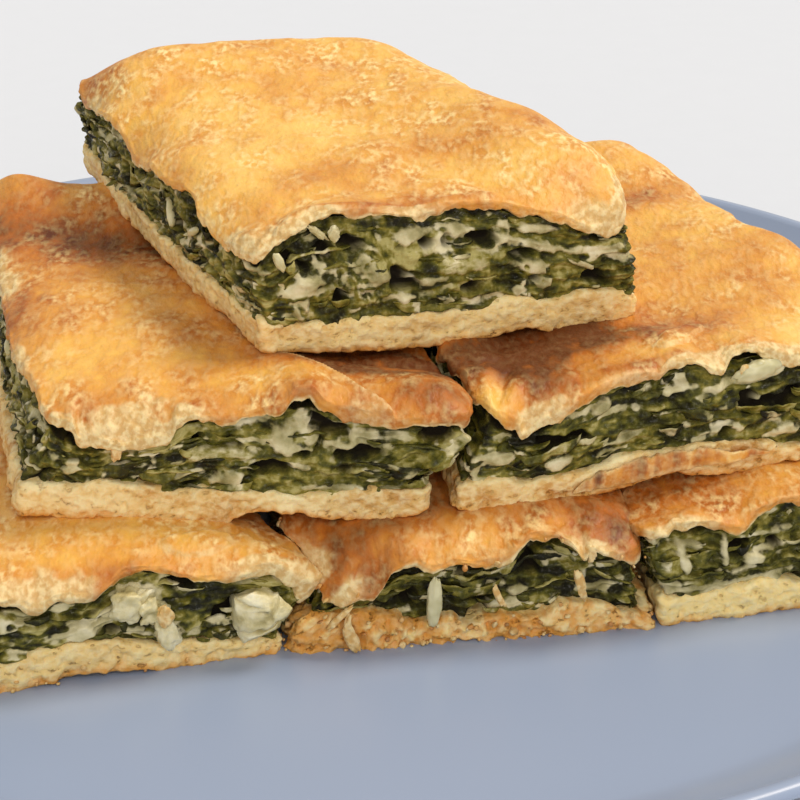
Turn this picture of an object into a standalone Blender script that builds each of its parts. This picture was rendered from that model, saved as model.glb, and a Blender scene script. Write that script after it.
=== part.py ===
"""A pile of six spanakopita slices on a round coupe plate.

Three slices lie side by side on the plate, two lie across them and one lies on top. Each slice is a thick
baked base, a spinach and cheese filling that runs right through it, and a puffed lid of crust.

Frame: metres, +Z up, origin under the middle of the plate on the surface it stands on. The cut ends of the
slices face -Y. Run with: blender --background --python part.py
"""

import math
from collections import namedtuple

import bmesh
import bpy
import numpy as np

MM = 0.001
GAP = 0.3 * MM  # between pieces that touch

# Plate: a coupe shape, flat in the middle and curving up to a thin round lip, on a turned foot ring.
PLATE_RADIUS = 171 * MM
WELL_RADIUS = 146 * MM  # where the flat middle ends
WELL_HEIGHT = 8 * MM  # upper face of the flat middle
RIM_RISE = 13 * MM  # lip above the flat middle
WALL = 4.4 * MM
LIP_RADIUS = 1.5 * MM
FOOT_INNER = 94 * MM
FOOT_OUTER = 100 * MM
FOOT_HEIGHT = 3.2 * MM
PLATE_STEPS = 56
RIM_STEPS = 4

# Slice layers.
BASE_THICKNESS = 6.4 * MM
LID_THICKNESS = 3.6 * MM
END_OVERHANG = 1.6 * MM  # how far the lid stands out at the cut ends
SIDE_OVERHANG = 0.3 * MM  # and along the sides, where slices lie close
SIDE_INSET = 1.0 * MM  # how far the filling stays back along the sides
LIP_DROP = 2.4 * MM  # the lid's edge hangs below its underside
CORNER_ROUNDING = 0.05  # share by which a corner is drawn in
COLUMNS, ROWS = 8, 10  # grid of each layer, across and along a slice

# Levels above the plate's flat middle.
LEVEL_PITCH = 23.6 * MM

# All in millimetres and degrees. x, y: front left corner. turn: the front edge from +X. left, right: how far
# each long side turns past the square to the front edge. lean_left, lean_right: how far the top of each long
# side stands to the right of its foot. dome: how far the lid puffs up over height.
Slice = namedtuple(
    "Slice", "name level x y turn width depth left right lean_left lean_right height dome phase"
)
SLICES = (
    Slice("bottom_left", 0, -79.1, -107.7, 15.6, 74.0, 126.0, 0.0, 1.4, 2.5, 4.6, 22.4, 0.0, 0.3),
    Slice("bottom_centre", 0, -6.2, -88.9, 7.9, 71.5, 126.0, 0.0, 0.6, 5.0, -2.4, 22.9, 0.0, 1.9),
    Slice("bottom_right", 0, 65.9, -78.5, 15.3, 72.0, 126.0, -7.8, -1.0, -2.0, 0.0, 22.9, 0.0, 3.1),
    Slice("middle_left", 1, -60.1, -75.3, 1.1, 80.0, 126.0, 12.0, 7.4, 3.3, 4.0, 22.9, 0.0, 4.4),
    Slice("middle_right", 1, 24.8, -72.5, 16.2, 88.0, 134.0, -8.6, 3.2, 3.4, 3.4, 22.9, 0.0, 5.2),
    Slice("top", 2, -13.1, -50.3, 18.0, 81.0, 123.8, 5.0, 5.8, -2.2, -2.8, 22.6, 5.6, 0.9),
)

# A lump of white cheese as big as a walnut half stands out of the front of the bottom left slice.
CHUNK_SLICE = "bottom_left"
CHUNK_ACROSS = 0.9  # place along the slice's front edge
CHUNK_SIZE = (13.0 * MM, 5.0 * MM, 8.6 * MM)
CHUNK_DENT = 6.2 * MM  # how far the filling is drawn in behind it
CHUNK_DENT_SPAN = 0.15  # half width of that dent, as a share of the front edge
CHUNK_HEIGHT = 11.3 * MM  # its middle above the slice's underside

# Colours: linear red, green, blue, then roughness.
COLOURS = {
    "lid": ((0.76, 0.39, 0.095), 0.5),
    "filling": ((0.055, 0.075, 0.015), 0.35),
    "base": ((0.79, 0.57, 0.28), 0.7),
    "cheese": ((0.72, 0.65, 0.43), 0.45),
    "plate": ((0.33, 0.37, 0.45), 0.3),
}


def clear_scene():
    for item in list(bpy.data.objects):
        bpy.data.objects.remove(item, do_unlink=True)


def material(kind):
    found = bpy.data.materials.get(kind)
    if found:
        return found
    colour, roughness = COLOURS[kind]
    made = bpy.data.materials.new(kind)
    made.use_nodes = True
    shader = made.node_tree.nodes["Principled BSDF"]
    shader.inputs["Base Color"].default_value = (*colour, 1.0)
    shader.inputs["Roughness"].default_value = roughness
    shader.inputs["Metallic"].default_value = 0.0
    return made


def add_object(name, mesh, kind, smooth_angle):
    """Links a finished mesh into the scene under its name, with its material and smooth shading."""
    mesh.materials.append(material(kind))
    mesh.shade_smooth()
    mesh.set_sharp_from_angle(angle=math.radians(smooth_angle))
    item = bpy.data.objects.new(name, mesh)
    bpy.context.scene.collection.objects.link(item)
    return item


def corners(piece):
    """The four footprint corners of a slice as a 2 x 2 x 2 array: [side][end] -> x, y."""
    turn = math.radians(piece.turn)
    front_left = np.array([piece.x, piece.y]) * MM
    front_right = front_left + piece.width * MM * np.array([math.cos(turn), math.sin(turn)])
    sides = []
    for front, extra in ((front_left, piece.left), (front_right, piece.right)):
        way = turn + math.radians(extra)
        back = front + piece.depth * MM * np.array([-math.sin(way), math.cos(way)])
        sides.append((front, back))
    return np.array(sides)


def base_level(piece):
    return WELL_HEIGHT + GAP + piece.level * LEVEL_PITCH


def dome(piece, u, v):
    """The lid's upper face over the slice's underside: the slice's height, broad shallow hollows between high
    spots, and on a puffed lid a rise that fades to nothing at the edges."""
    hollows = 0.5 * MM * (1 + np.sin(5.1 * u + piece.phase)) * (1 + np.sin(7.3 * v + 2 * piece.phase)) / 2
    puff = piece.dome * MM * (4 * u * (1 - u)) ** 0.45 * (4 * v * (1 - v)) ** 0.35
    return piece.height * MM - hollows + puff


def outline_wobble(piece, u, v):
    """Uneven cut edges: the outline swings in and out by up to half a millimetre along each side."""
    return 0.3 * MM * (np.sin(11 * u + 3 * piece.phase) + np.sin(14 * v - piece.phase)) - 0.1 * MM


def place(piece, u, v, outset, height):
    """Points of the slice at shares u across and v along it, at a height over its underside. outset is how far
    they are pushed out at the sides and at the ends. Corners are drawn in, and the long sides lean."""
    wobble = outline_wobble(piece, u, v)
    across = (2 * u - 1) * (1 + 2 * (outset[0] + wobble) / (piece.width * MM))
    along = (2 * v - 1) * (1 + 2 * (outset[1] + wobble) / (piece.depth * MM))
    a = across * np.sqrt(1 - CORNER_ROUNDING * np.clip(along, -1, 1) ** 2)
    b = along * np.sqrt(1 - CORNER_ROUNDING * np.clip(across, -1, 1) ** 2)
    p, q = (a + 1)[..., None] / 2, (b + 1)[..., None] / 2
    c = corners(piece)
    flat = (1 - p) * ((1 - q) * c[0, 0] + q * c[0, 1]) + p * ((1 - q) * c[1, 0] + q * c[1, 1])
    turn = math.radians(piece.turn)
    lean = (piece.lean_left * (1 - p[..., 0]) + piece.lean_right * p[..., 0]) * height / piece.height
    x = flat[..., 0] + lean * math.cos(turn)
    y = flat[..., 1] + lean * math.sin(turn)
    return np.stack(np.broadcast_arrays(x, y, base_level(piece) + height), axis=-1)


def border():
    """Grid indices round the edge of a layer, anticlockwise seen from above."""
    front = [(i, 0) for i in range(COLUMNS)]
    right = [(COLUMNS, j) for j in range(ROWS)]
    back = [(i, ROWS) for i in range(COLUMNS, 0, -1)]
    left = [(0, j) for j in range(ROWS, 0, -1)]
    return front + right + back + left


def layer(name, kind, piece, top, bottom, rings):
    """A closed slab: an upper sheet at height top(u, v), side rings, and a lower sheet at bottom(u, v).

    rings holds (side outset, end outset, share) from the upper edge down: share 1 is the upper sheet's height at
    the border and 0 is the lower one's, and the end outset may be a function of u and v. The first ring is the
    upper sheet's own edge and the last the lower one's. With bottom a plain number, the lower sheet is flat.
    """
    grid_u, grid_v = np.meshgrid(np.linspace(0, 1, COLUMNS + 1), np.linspace(0, 1, ROWS + 1), indexing="ij")
    edge = border()
    edge_u = np.array([i / COLUMNS for i, _ in edge])
    edge_v = np.array([j / ROWS for _, j in edge])

    def outset(side, end, u, v):
        return side, end(u, v) if callable(end) else end

    def level(surface, u, v):
        return surface(u, v) if callable(surface) else np.full(np.shape(u), float(surface))

    shape = bmesh.new()

    def sheet(surface, side, end):
        height = level(surface, grid_u, grid_v)
        points = place(piece, grid_u, grid_v, outset(side, end, grid_u, grid_v), height)
        return [[shape.verts.new(points[i, j]) for j in range(ROWS + 1)] for i in range(COLUMNS + 1)]

    def ring(side, end, share):
        low, high = level(bottom, edge_u, edge_v), level(top, edge_u, edge_v)
        points = place(piece, edge_u, edge_v, outset(side, end, edge_u, edge_v), low + share * (high - low))
        return [shape.verts.new(p) for p in points]

    upper = sheet(top, *rings[0][:2])
    for i in range(COLUMNS):
        for j in range(ROWS):
            shape.faces.new((upper[i][j], upper[i + 1][j], upper[i + 1][j + 1], upper[i][j + 1]))
    loops = [[upper[i][j] for i, j in edge]]
    loops += [ring(*r) for r in rings[1:-1]]
    if callable(bottom):
        lower = sheet(bottom, *rings[-1][:2])
        for i in range(COLUMNS):
            for j in range(ROWS):
                shape.faces.new((lower[i][j], lower[i][j + 1], lower[i + 1][j + 1], lower[i + 1][j]))
        loops.append([lower[i][j] for i, j in edge])
    else:
        loops.append(ring(*rings[-1]))
        shape.faces.new(reversed(loops[-1]))
    for above, below in zip(loops, loops[1:]):
        for k in range(len(edge)):
            n = (k + 1) % len(edge)
            shape.faces.new((below[k], below[n], above[n], above[k]))
    mesh = bpy.data.meshes.new(name)
    bmesh.ops.triangulate(shape, faces=[f for f in shape.faces if len(f.verts) > 4])
    shape.to_mesh(mesh)
    shape.free()
    return add_object(name, mesh, kind, 50)


def add_base(piece):
    """A flat slab of baked dough with a rounded lower edge and slightly worn upper one."""
    profile = ((-0.7, 1), (-0.1, 0.75), (0.2, 0.3), (-1.1, 0))
    rings = [(out * MM, (out + 0.5) * MM, share) for out, share in profile]
    layer(f"{piece.name}_base", "base", piece, lambda u, v: np.full(np.shape(u), BASE_THICKNESS), 0.0, rings)


def dent(piece, end):
    """Outset of the filling's cut ends, drawn in behind the lump of cheese."""

    def outset(u, v):
        near = np.clip(1 - np.abs(u - CHUNK_ACROSS) / CHUNK_DENT_SPAN, 0, 1)
        drawn = CHUNK_DENT * np.minimum(1, 2.2 * near) * (v < 0.5 / ROWS)
        return end - (drawn if piece.name == CHUNK_SLICE else 0.0)

    return outset


def add_filling(piece):
    """Packed spinach: bulges out between the two crusts, and follows the lid's underside."""
    profile = ((-1.5, 1), (-0.3, 0.62), (0.0, 0.3), (-1.0, 0))
    rings = [(out * MM - SIDE_INSET, dent(piece, out * MM), share) for out, share in profile]

    def top(u, v):
        return dome(piece, u, v) - LID_THICKNESS - 0.4 * MM

    layer(f"{piece.name}_filling", "filling", piece, top, BASE_THICKNESS + GAP, rings)


def add_lid(piece):
    """A puffed sheet of crust that stands out past the filling with a blunt drooping lip."""

    def top(u, v):
        edge = np.maximum(np.abs(2 * u - 1), np.abs(2 * v - 1)) > 0.99
        return dome(piece, u, v) - np.where(edge, 0.9 * MM, 0.0)

    def underside(u, v):
        return dome(piece, u, v) - LID_THICKNESS

    drop = -LIP_DROP / (LID_THICKNESS - 0.9 * MM)
    rings = (
        (SIDE_OVERHANG - 0.6 * MM, END_OVERHANG - 0.9 * MM, 1),
        (SIDE_OVERHANG, END_OVERHANG, 0.4),
        (SIDE_OVERHANG - 0.1 * MM, END_OVERHANG - 0.1 * MM, 0.7 * drop),
        (SIDE_OVERHANG - 0.5 * MM, END_OVERHANG - 0.7 * MM, drop),
        (0.5 * MM - SIDE_INSET, 0.5 * MM, 0),
    )
    layer(f"{piece.name}_lid", "lid", piece, top, underside, rings)


def add_chunk():
    """A crumbly lump of cheese: a ball squared off towards a block, standing in the filling's dent."""
    piece = next(s for s in SLICES if s.name == CHUNK_SLICE)
    shape = bmesh.new()
    bmesh.ops.create_icosphere(shape, subdivisions=3, radius=1.0)
    middle = place(piece, np.array(CHUNK_ACROSS), np.array(0.0), (0, -0.6 * MM), np.array(CHUNK_HEIGHT))
    turn = math.radians(piece.turn)
    for vert in shape.verts:
        x, y, z = (math.copysign(abs(c) ** 0.62, c) for c in vert.co)
        lumps = 1 + 0.07 * math.sin(5 * x + 2) * math.cos(4 * z)
        x, y, z = (c * lumps * size / 2 for c, size in zip((x, y, z), CHUNK_SIZE))
        vert.co = (
            middle[0] + x * math.cos(turn) - y * math.sin(turn),
            middle[1] + x * math.sin(turn) + y * math.cos(turn),
            middle[2] + z,
        )
    mesh = bpy.data.meshes.new("cheese_chunk")
    shape.to_mesh(mesh)
    shape.free()
    add_object("cheese_chunk", mesh, "cheese", 40)


def plate_profile():
    """Half section of the plate as (radius, height), from the middle of its upper face over the lip to the
    middle of its underside."""
    upper = [(0.0, WELL_HEIGHT), (WELL_RADIUS * 0.55, WELL_HEIGHT), (WELL_RADIUS, WELL_HEIGHT)]
    lower = []
    run = PLATE_RADIUS - LIP_RADIUS - WELL_RADIUS
    for k in range(1, RIM_STEPS + 1):
        share = k / RIM_STEPS
        radius = WELL_RADIUS + run * share
        rise = RIM_RISE * share**1.7
        upper.append((radius - LIP_RADIUS * share, WELL_HEIGHT + rise))
        thinner = WALL + (2 * LIP_RADIUS - WALL) * share
        lower.append((radius + LIP_RADIUS * share * 0.6, WELL_HEIGHT + rise - thinner))
    lip = (PLATE_RADIUS, WELL_HEIGHT + RIM_RISE - 0.7 * LIP_RADIUS)
    under = WELL_HEIGHT - WALL
    foot = [
        (FOOT_OUTER + 6 * MM, under),
        (FOOT_OUTER, 0.6 * MM),
        (FOOT_OUTER - 0.6 * MM, 0.0),
        (FOOT_INNER + 0.6 * MM, 0.0),
        (FOOT_INNER, 0.6 * MM),
        (FOOT_INNER - 2 * MM, FOOT_HEIGHT),
        (0.0, FOOT_HEIGHT),
    ]
    return upper + [lip] + lower[::-1] + foot


def add_plate():
    """The plate, its half section turned once round the upright axis."""
    profile = plate_profile()
    shape = bmesh.new()
    rings = []
    for radius, height in profile:
        if radius == 0:
            rings.append([shape.verts.new((0, 0, height))] * PLATE_STEPS)
            continue
        angles = [2 * math.pi * k / PLATE_STEPS for k in range(PLATE_STEPS)]
        rings.append([shape.verts.new((radius * math.cos(a), radius * math.sin(a), height)) for a in angles])
    for inner, outer in zip(rings, rings[1:]):
        for k in range(PLATE_STEPS):
            n = (k + 1) % PLATE_STEPS
            around = [inner[k], outer[k], outer[n], inner[n]]
            distinct = [v for i, v in enumerate(around) if v is not around[i - 1]]
            shape.faces.new(distinct)
    mesh = bpy.data.meshes.new("plate")
    shape.to_mesh(mesh)
    shape.free()
    add_object("plate", mesh, "plate", 35)


def main():
    clear_scene()
    add_plate()
    for piece in SLICES:
        add_base(piece)
        add_filling(piece)
        add_lid(piece)
    add_chunk()


main()
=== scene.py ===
"""Six spanakopita slices piled on a round glazed plate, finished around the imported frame.

Each slice is a baked base, packed spinach with soft white cheese between its leaves, and a puffed golden lid.
Sizes inside a slice are in millimetres, in the slice's own measure: x across its cut front, y along it, and z
over its underside. Everything that is written to a mesh is in metres.
"""

import math
from functools import partial

import bpy
import numpy as np
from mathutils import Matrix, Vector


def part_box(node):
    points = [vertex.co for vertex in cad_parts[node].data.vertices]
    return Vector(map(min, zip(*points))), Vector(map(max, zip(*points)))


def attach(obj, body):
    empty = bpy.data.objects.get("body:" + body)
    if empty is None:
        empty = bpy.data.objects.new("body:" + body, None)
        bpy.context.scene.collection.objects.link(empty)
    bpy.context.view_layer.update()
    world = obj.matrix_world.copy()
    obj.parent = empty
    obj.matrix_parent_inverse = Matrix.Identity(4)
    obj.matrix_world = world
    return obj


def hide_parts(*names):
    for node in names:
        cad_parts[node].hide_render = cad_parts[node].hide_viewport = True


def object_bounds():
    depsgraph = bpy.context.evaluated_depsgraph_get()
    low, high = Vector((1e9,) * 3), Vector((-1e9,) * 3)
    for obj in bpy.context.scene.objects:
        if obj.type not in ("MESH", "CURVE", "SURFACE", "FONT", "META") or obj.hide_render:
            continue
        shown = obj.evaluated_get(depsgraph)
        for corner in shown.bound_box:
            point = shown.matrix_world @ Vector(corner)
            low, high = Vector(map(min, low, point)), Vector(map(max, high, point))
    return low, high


MM = 0.001
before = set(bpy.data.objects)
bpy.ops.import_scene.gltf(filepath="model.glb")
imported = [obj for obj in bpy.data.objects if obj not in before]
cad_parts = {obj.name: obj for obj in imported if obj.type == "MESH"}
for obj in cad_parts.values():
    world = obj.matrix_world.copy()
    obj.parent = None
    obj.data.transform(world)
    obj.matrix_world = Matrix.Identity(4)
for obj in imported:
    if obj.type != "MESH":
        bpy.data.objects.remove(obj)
cad_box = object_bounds()

# ---------------------------------------------------------------- how each slice was cut and baked

# Lines along a slice's cut front, as (share across, height in mm): the lid's lower edge, the filling's
# upper edge, and the base's upper and lower edges. The other cut sides get uneven lines round a plain
# height.
LIP_LINE = {
    "top": [
        (0, 18.2), (0.03, 20.8), (0.09, 23.6), (0.16, 26.6), (0.24, 28), (0.36, 27.2), (0.47, 25.7),
        (0.56, 26.4), (0.63, 26), (0.74, 22.9), (0.82, 20.9), (0.87, 18.2), (0.92, 16.5), (1, 17.8)],
    "middle_left": [
        (0, 19.5), (0.09, 18.6), (0.12, 15.4), (0.16, 16), (0.23, 15), (0.29, 15.6), (0.345, 16.6),
        (0.365, 19.6), (0.4, 20.3), (0.45, 20.2), (0.57, 21.6), (0.61, 22.2), (0.64, 25.6), (0.67, 25.8),
        (0.71, 22.4), (0.76, 20.4), (0.82, 19.2), (0.92, 18.9), (1, 17.6)],
    "middle_right": [
        (0, 19.5), (0.06, 17.5), (0.1, 16.2), (0.135, 13.6), (0.165, 15.2), (0.23, 17.8), (0.27, 19.8),
        (0.32, 22), (0.4, 23.1), (0.45, 23.2), (0.48, 25.2), (0.53, 25.4), (0.58, 22.9), (0.6, 22.6),
        (0.63, 25.9), (0.7, 25.3), (0.79, 22.8), (0.88, 22.2), (1, 18.5)],
    "bottom_left": [
        (0, 19), (0.14, 20.2), (0.28, 19.2), (0.33, 17.1), (0.38, 18.4), (0.45, 18), (0.5, 19.4),
        (0.55, 22.3), (0.65, 21), (0.7, 19.2), (0.8, 18), (0.87, 18.6), (0.91, 16), (0.95, 12.2), (1, 9.6)],
    "bottom_centre": [
        (0, 11), (0.14, 11.7), (0.2, 13.8), (0.23, 16.8), (0.3, 18.9), (0.35, 16.6), (0.42, 17.7),
        (0.48, 16.7), (0.57, 17.2), (0.62, 20.4), (0.66, 22.2), (0.72, 22.5), (0.78, 20.2), (0.815, 16.9),
        (0.835, 19.4), (0.88, 17.8), (0.95, 15.2), (1, 14.6)],
    "bottom_right": [
        (0, 20), (0.06, 20.5), (0.08, 22.4), (0.14, 22.2), (0.24, 20.3), (0.29, 22.9), (0.4, 24.6),
        (0.55, 22.4), (0.72, 19.6), (0.86, 20.8), (1, 17)],
}
FILLING_LINE = {
    "top": [
        (0, 17.5), (0.06, 20.6), (0.12, 23.5), (0.2, 25.4), (0.45, 24.9), (0.6, 24.2), (0.72, 22.4),
        (0.82, 20.4), (0.9, 17), (1, 17)],
    "middle_left": [
        (0, 18), (0.12, 14.5), (0.23, 13.4), (0.34, 17.6), (0.42, 19.4), (0.52, 21), (0.6, 21.2),
        (0.66, 20.4), (0.72, 20.6), (0.8, 19.6), (1, 17.2)],
    "middle_right": [
        (0, 16.5), (0.1, 14.2), (0.16, 13.2), (0.27, 18.6), (0.36, 21.2), (0.44, 22), (0.52, 22.8),
        (0.6, 22.2), (0.7, 23), (1, 18)],
    "bottom_left": [
        (0, 18.4), (0.3, 16.6), (0.45, 17.4), (0.56, 20.6), (0.7, 19), (0.85, 17.6), (0.92, 15), (1, 9)],
    "bottom_centre": [
        (0, 10.4), (0.2, 13), (0.3, 16.4), (0.48, 16), (0.58, 16.6), (0.68, 20.2), (0.8, 17.6),
        (0.9, 16.4), (1, 14)],
    "bottom_right": [(0, 19.2), (0.15, 21), (0.25, 19.8), (0.4, 22.6), (0.7, 19.2), (1, 16.6)],
}
BASE_TOP_LINE = {
    "top": [
        (0, 7.6), (0.06, 5.8), (0.2, 5.4), (0.43, 4.7), (0.58, 4.6), (0.67, 5.7), (0.8, 4), (0.88, 4.8),
        (1, 3.4)],
    "middle_left": [
        (0, 7.2), (0.12, 7.1), (0.2, 8.4), (0.26, 6.8), (0.45, 5.9), (0.6, 5.2), (0.7, 4.3), (0.8, 5.1),
        (1, 5.8)],
    "middle_right": [
        (0, 5.4), (0.08, 6.5), (0.17, 4.4), (0.28, 4.8), (0.4, 6.9), (0.55, 7.6), (0.7, 6.8), (0.85, 4.6),
        (1, 6.4)],
    "bottom_left": [
        (0, 6.6), (0.28, 6.5), (0.36, 8.8), (0.48, 9), (0.58, 7.6), (0.66, 6.4), (0.8, 5.4), (0.9, 4.6),
        (1, 3.6)],
    "bottom_centre": [
        (0, 8.6), (0.14, 8.2), (0.26, 7.2), (0.33, 5.5), (0.43, 5.9), (0.47, 4.4), (0.6, 5.4), (0.68, 5),
        (0.76, 7.3), (0.86, 6.6), (0.93, 4), (1, 3.4)],
    "bottom_right": [(0, 7.4), (0.16, 6.6), (0.3, 8.3), (0.42, 6.4), (0.7, 7.2), (1, 6)],
}
BASE_LOW_LINE = {
    "top": [
        (0, -0.2), (0.2, -1.9), (0.44, -3.5), (0.6, -2.9), (0.69, -2.1), (0.77, -3.2), (0.9, -3.7),
        (0.97, -3.7), (1, -1.6)],
    "middle_left": [
        (0, 0.4), (0.16, -0.2), (0.3, -1.4), (0.4, -2.4), (0.51, -2.1), (0.54, -0.3), (0.62, 0.6),
        (0.69, 0), (0.78, -1.4), (0.9, -1.4), (1, 0.5)],
    "middle_right": [
        (0, 0.2), (0.06, -0.8), (0.15, -1.4), (0.3, -1.4), (0.42, 0), (0.51, 1.6), (0.58, 0.4), (0.72, 0),
        (0.78, 1), (1, 0.3)],
    "bottom_left": [
        (0, 0.1), (0.29, 0.3), (0.36, 0.9), (0.5, 1.5), (0.62, 1.4), (0.68, 0.2), (0.88, 0.1), (0.93, 0.7),
        (1, 0.2)],
    "bottom_centre": [(0, 0.2), (0.44, 0.1), (0.455, 1.1), (0.5, 0.3), (0.9, 0.2), (1, 0.7)],
    "bottom_right": [(0, 0.5), (0.2, 0.3), (1, 0.2)],
}

# Broad rises and hollows of each lid: share across, share along, half widths in mm and height in mm, then
# the turn in degrees if it is turned.
SWELLS = {
    "top": [
        (0.3, 0.9, 30, 24, 4.6), (0.17, 0.92, 14, 18, 2), (0.72, 0.97, 24, 20, 3.2), (0, 1, 14, 16, -3.4),
        (0.97, 0.36, 18, 46, 5.4), (0.93, 0.16, 14, 18, 3), (0.96, 0.12, 5, 5, 1.2),
        (0.97, 0.5, 4, 5, 0.9), (0.95, 0.8, 14, 16, 1.8), (0.55, 0.5, 10, 34, -1, 12)],
    "middle_left": [
        (0.3, 0.35, 24, 26, 1.2), (0.04, 0.97, 12, 16, 7, 3), (0.45, 0.97, 30, 16, 4.5, 3),
        (0.3, 0.74, 40, 7, -1.6, 4), (0.655, 0.02, 8, 11, 2.6), (0.93, 0.06, 8, 9, 1.8),
        (0.9, 0.27, 17, 12, -4.2)],
    "middle_right": [
        (0.5, 0.25, 18, 12, -2.2, 6), (0.75, 0.3, 16, 22, 1.2, 10), (0.08, 0.1, 2.4, 20, -3.4, -18),
        (0.03, 0.1, 3, 20, 1.2, -14), (0, 0.25, 11, 26, -2.4), (0.9, 0.9, 26, 20, 5.6),
        (1, 0.45, 16, 36, 5), (0.8, 0.66, 16, 7, 1.4), (0.11, 0.25, 18, 13, -4.6), (1, 0.56, 3, 3, 1.6),
        (1, 0.68, 10, 6, -1.6)],
    "bottom_left": [(0.5, 0.15, 30, 16, 1), (1, 0.1, 8, 20, -2.2)],
    "bottom_centre": [(0.6, 0.12, 22, 12, 1.2), (0, 0.1, 9, 20, -2.4)],
    "bottom_right": [(0.5, 0.2, 26, 18, 1.2), (0, 0.1, 8, 20, -1.6)],
}

# How far the lid's and the filling's edges rise over their plain height at the right, back and left, in mm.
SIDE_RISE = {"top": (4.0, 3.0, 1.0), "middle_left": (0.0, 4.0, 1.5), "middle_right": (4.5, 3.5, 0.0)}

# How far a layer stands out past the straight line of its right side and of its left, as (share along, mm).
LID_OUTSET = {
    "top": (
        [(0, 1), (0.08, 3.5), (0.2, 7), (0.3, 7), (0.45, 4.5), (0.7, 2), (1, 0.5)],
        [(0, 0), (0.5, 0.3), (0.8, 0.5), (1, 2)]),
    "middle_left": (
        [(0, 5.8), (0.06, 5.8), (0.14, 4.6), (0.24, 3.4), (0.5, 0), (1, 0)],
        [(0, -3), (0.1, -2.2), (0.3, 0), (1, 0)]),
    "middle_right": (
        [
            (0, 1), (0.12, 4), (0.25, 7.6), (0.36, 9.2), (0.44, 8.6), (0.5, 6), (0.55, 3.2), (0.6, 6.6),
            (0.72, 7), (0.86, 6), (0.95, 3.6), (1, 2.4)],
        [(0, -2.4), (0.06, -2.4), (0.24, 0.4), (0.5, 0.4), (1, 0)]),
    "bottom_left": ([(0, 8), (0.03, 6), (0.08, 2), (0.15, -2.4), (0.3, -3), (1, 0)], [(0, 0), (1, 0)]),
    "bottom_centre": (
        [(0, 0.6), (0.2, 0.3), (1, 0)],
        [(0, -6), (0.03, -4), (0.08, 0.4), (0.15, 5.2), (0.3, 5), (1, 0)]),
    "bottom_right": ([(0, 0), (1, 0)], [(0, 2.6), (0.1, 3.4), (0.3, 1), (1, 0)]),
}
BASE_OUTSET = {
    "top": (
        [(0, 1.3), (0.2, 0.8), (0.5, 0), (1, 0)],
        [(0, 0), (0.12, 0.6), (0.35, 2.6), (0.7, 2.6), (1, 1.4)]),
    "bottom_centre": ([(0, 1.2), (0.3, 0), (1, 0)], [(0, 2.4), (0.3, 0), (1, 0)]),
}

# Thin flakes of crust that lie loose on a lid, as for SWELLS.
FLAKES = {
    "middle_right": [(0.55, 0.12, 7.5, 3.2, 0.8, 35)],
    "bottom_left": [(0.74, 0.06, 7, 4.5, 0.7)],
}

# Where a lid's crust has folded over itself: share across and share along of the crease's middle, its turn
# in degrees, half length, height of the step and how far the fold runs out on its left, in mm.
FOLDS = {"middle_left": [(0.795, 0.07, -58, 22, 2.1, 8)]}

# Where the front's lip is torn down to its pale crumb: share across, half width and reach upwards, in mm.
TORN = {
    "top": [(0.04, 9, 4), (0.2, 5, 2.6), (0.43, 8, 1.6), (0.95, 8, 3)],
    "middle_left": [(0.24, 11, 4.6), (0.34, 5, 2)],
    "middle_right": [(0.135, 2.5, 4), (0.2, 4, 1.6), (0.5, 6, 1.5), (0.6, 4, 2.6), (0.78, 8, 2.2)],
    "bottom_left": [(0.08, 12, 3), (0.3, 10, 3), (0.9, 5, 4)],
    "bottom_centre": [(0.05, 6, 2), (0.83, 5, 3)],
    "bottom_right": [(0.1, 5, 2.4)],
}

# How brown each lid is all over, and where it is browner or paler: as for SWELLS, with how much as height.
# Some spots on the two middle lids are not browning but painted shade under the top slice.
BROWNING_LEVEL = {"top": 0.04, "middle_left": 0.31, "middle_right": 0.08, "bottom_left": 0.14,
                  "bottom_centre": 0.52, "bottom_right": 0.4}
BROWNING_AND_PAINTED_SHADE = {
    "top": [(0, 0.95, 16, 22, 0.4), (0.42, 0.02, 34, 7, 0.6), (0.3, 0.2, 22, 16, 0.15)],
    "middle_left": [
        # The second and third spots on this line are painted shade, where the top slice's front shades this
        # lid.
        (0.5, 0.74, 60, 18, 0.8), (0.9, 0.2, 18, 13, 1.2), (0.74, 0.2, 14, 7, 0.9),
        (0.95, 0.04, 10, 7, 0.4), (0.5, 0.02, 36, 5, 0.25), (0.35, 0.16, 26, 12, -0.2)],
    "middle_right": [
        # The first spot on this line is painted shade, where the top slice's front overhangs and shades this
        # lid.
        (0.17, 0.2, 23, 15, 1.8, 14), (0.2, 0.08, 6, 10, 0.5), (0.05, 0.05, 3, 9, -0.8, -14),
        (0.4, 0.03, 22, 6, 0.6), (0.72, 0.7, 22, 9, 0.8, 6), (0.6, 0.17, 22, 7, 0.5, 10)],
    "bottom_left": [(0.3, 0, 40, 5, 0.4), (0.98, 0.1, 8, 16, 0.3)],
    "bottom_centre": [(0.1, 0.1, 14, 20, 0.4), (0.95, 0.08, 8, 14, 0.3), (0.5, 0.02, 22, 7, -0.2)],
    "bottom_right": [(0.1, 0.1, 20, 20, 0.3)],
}

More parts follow.
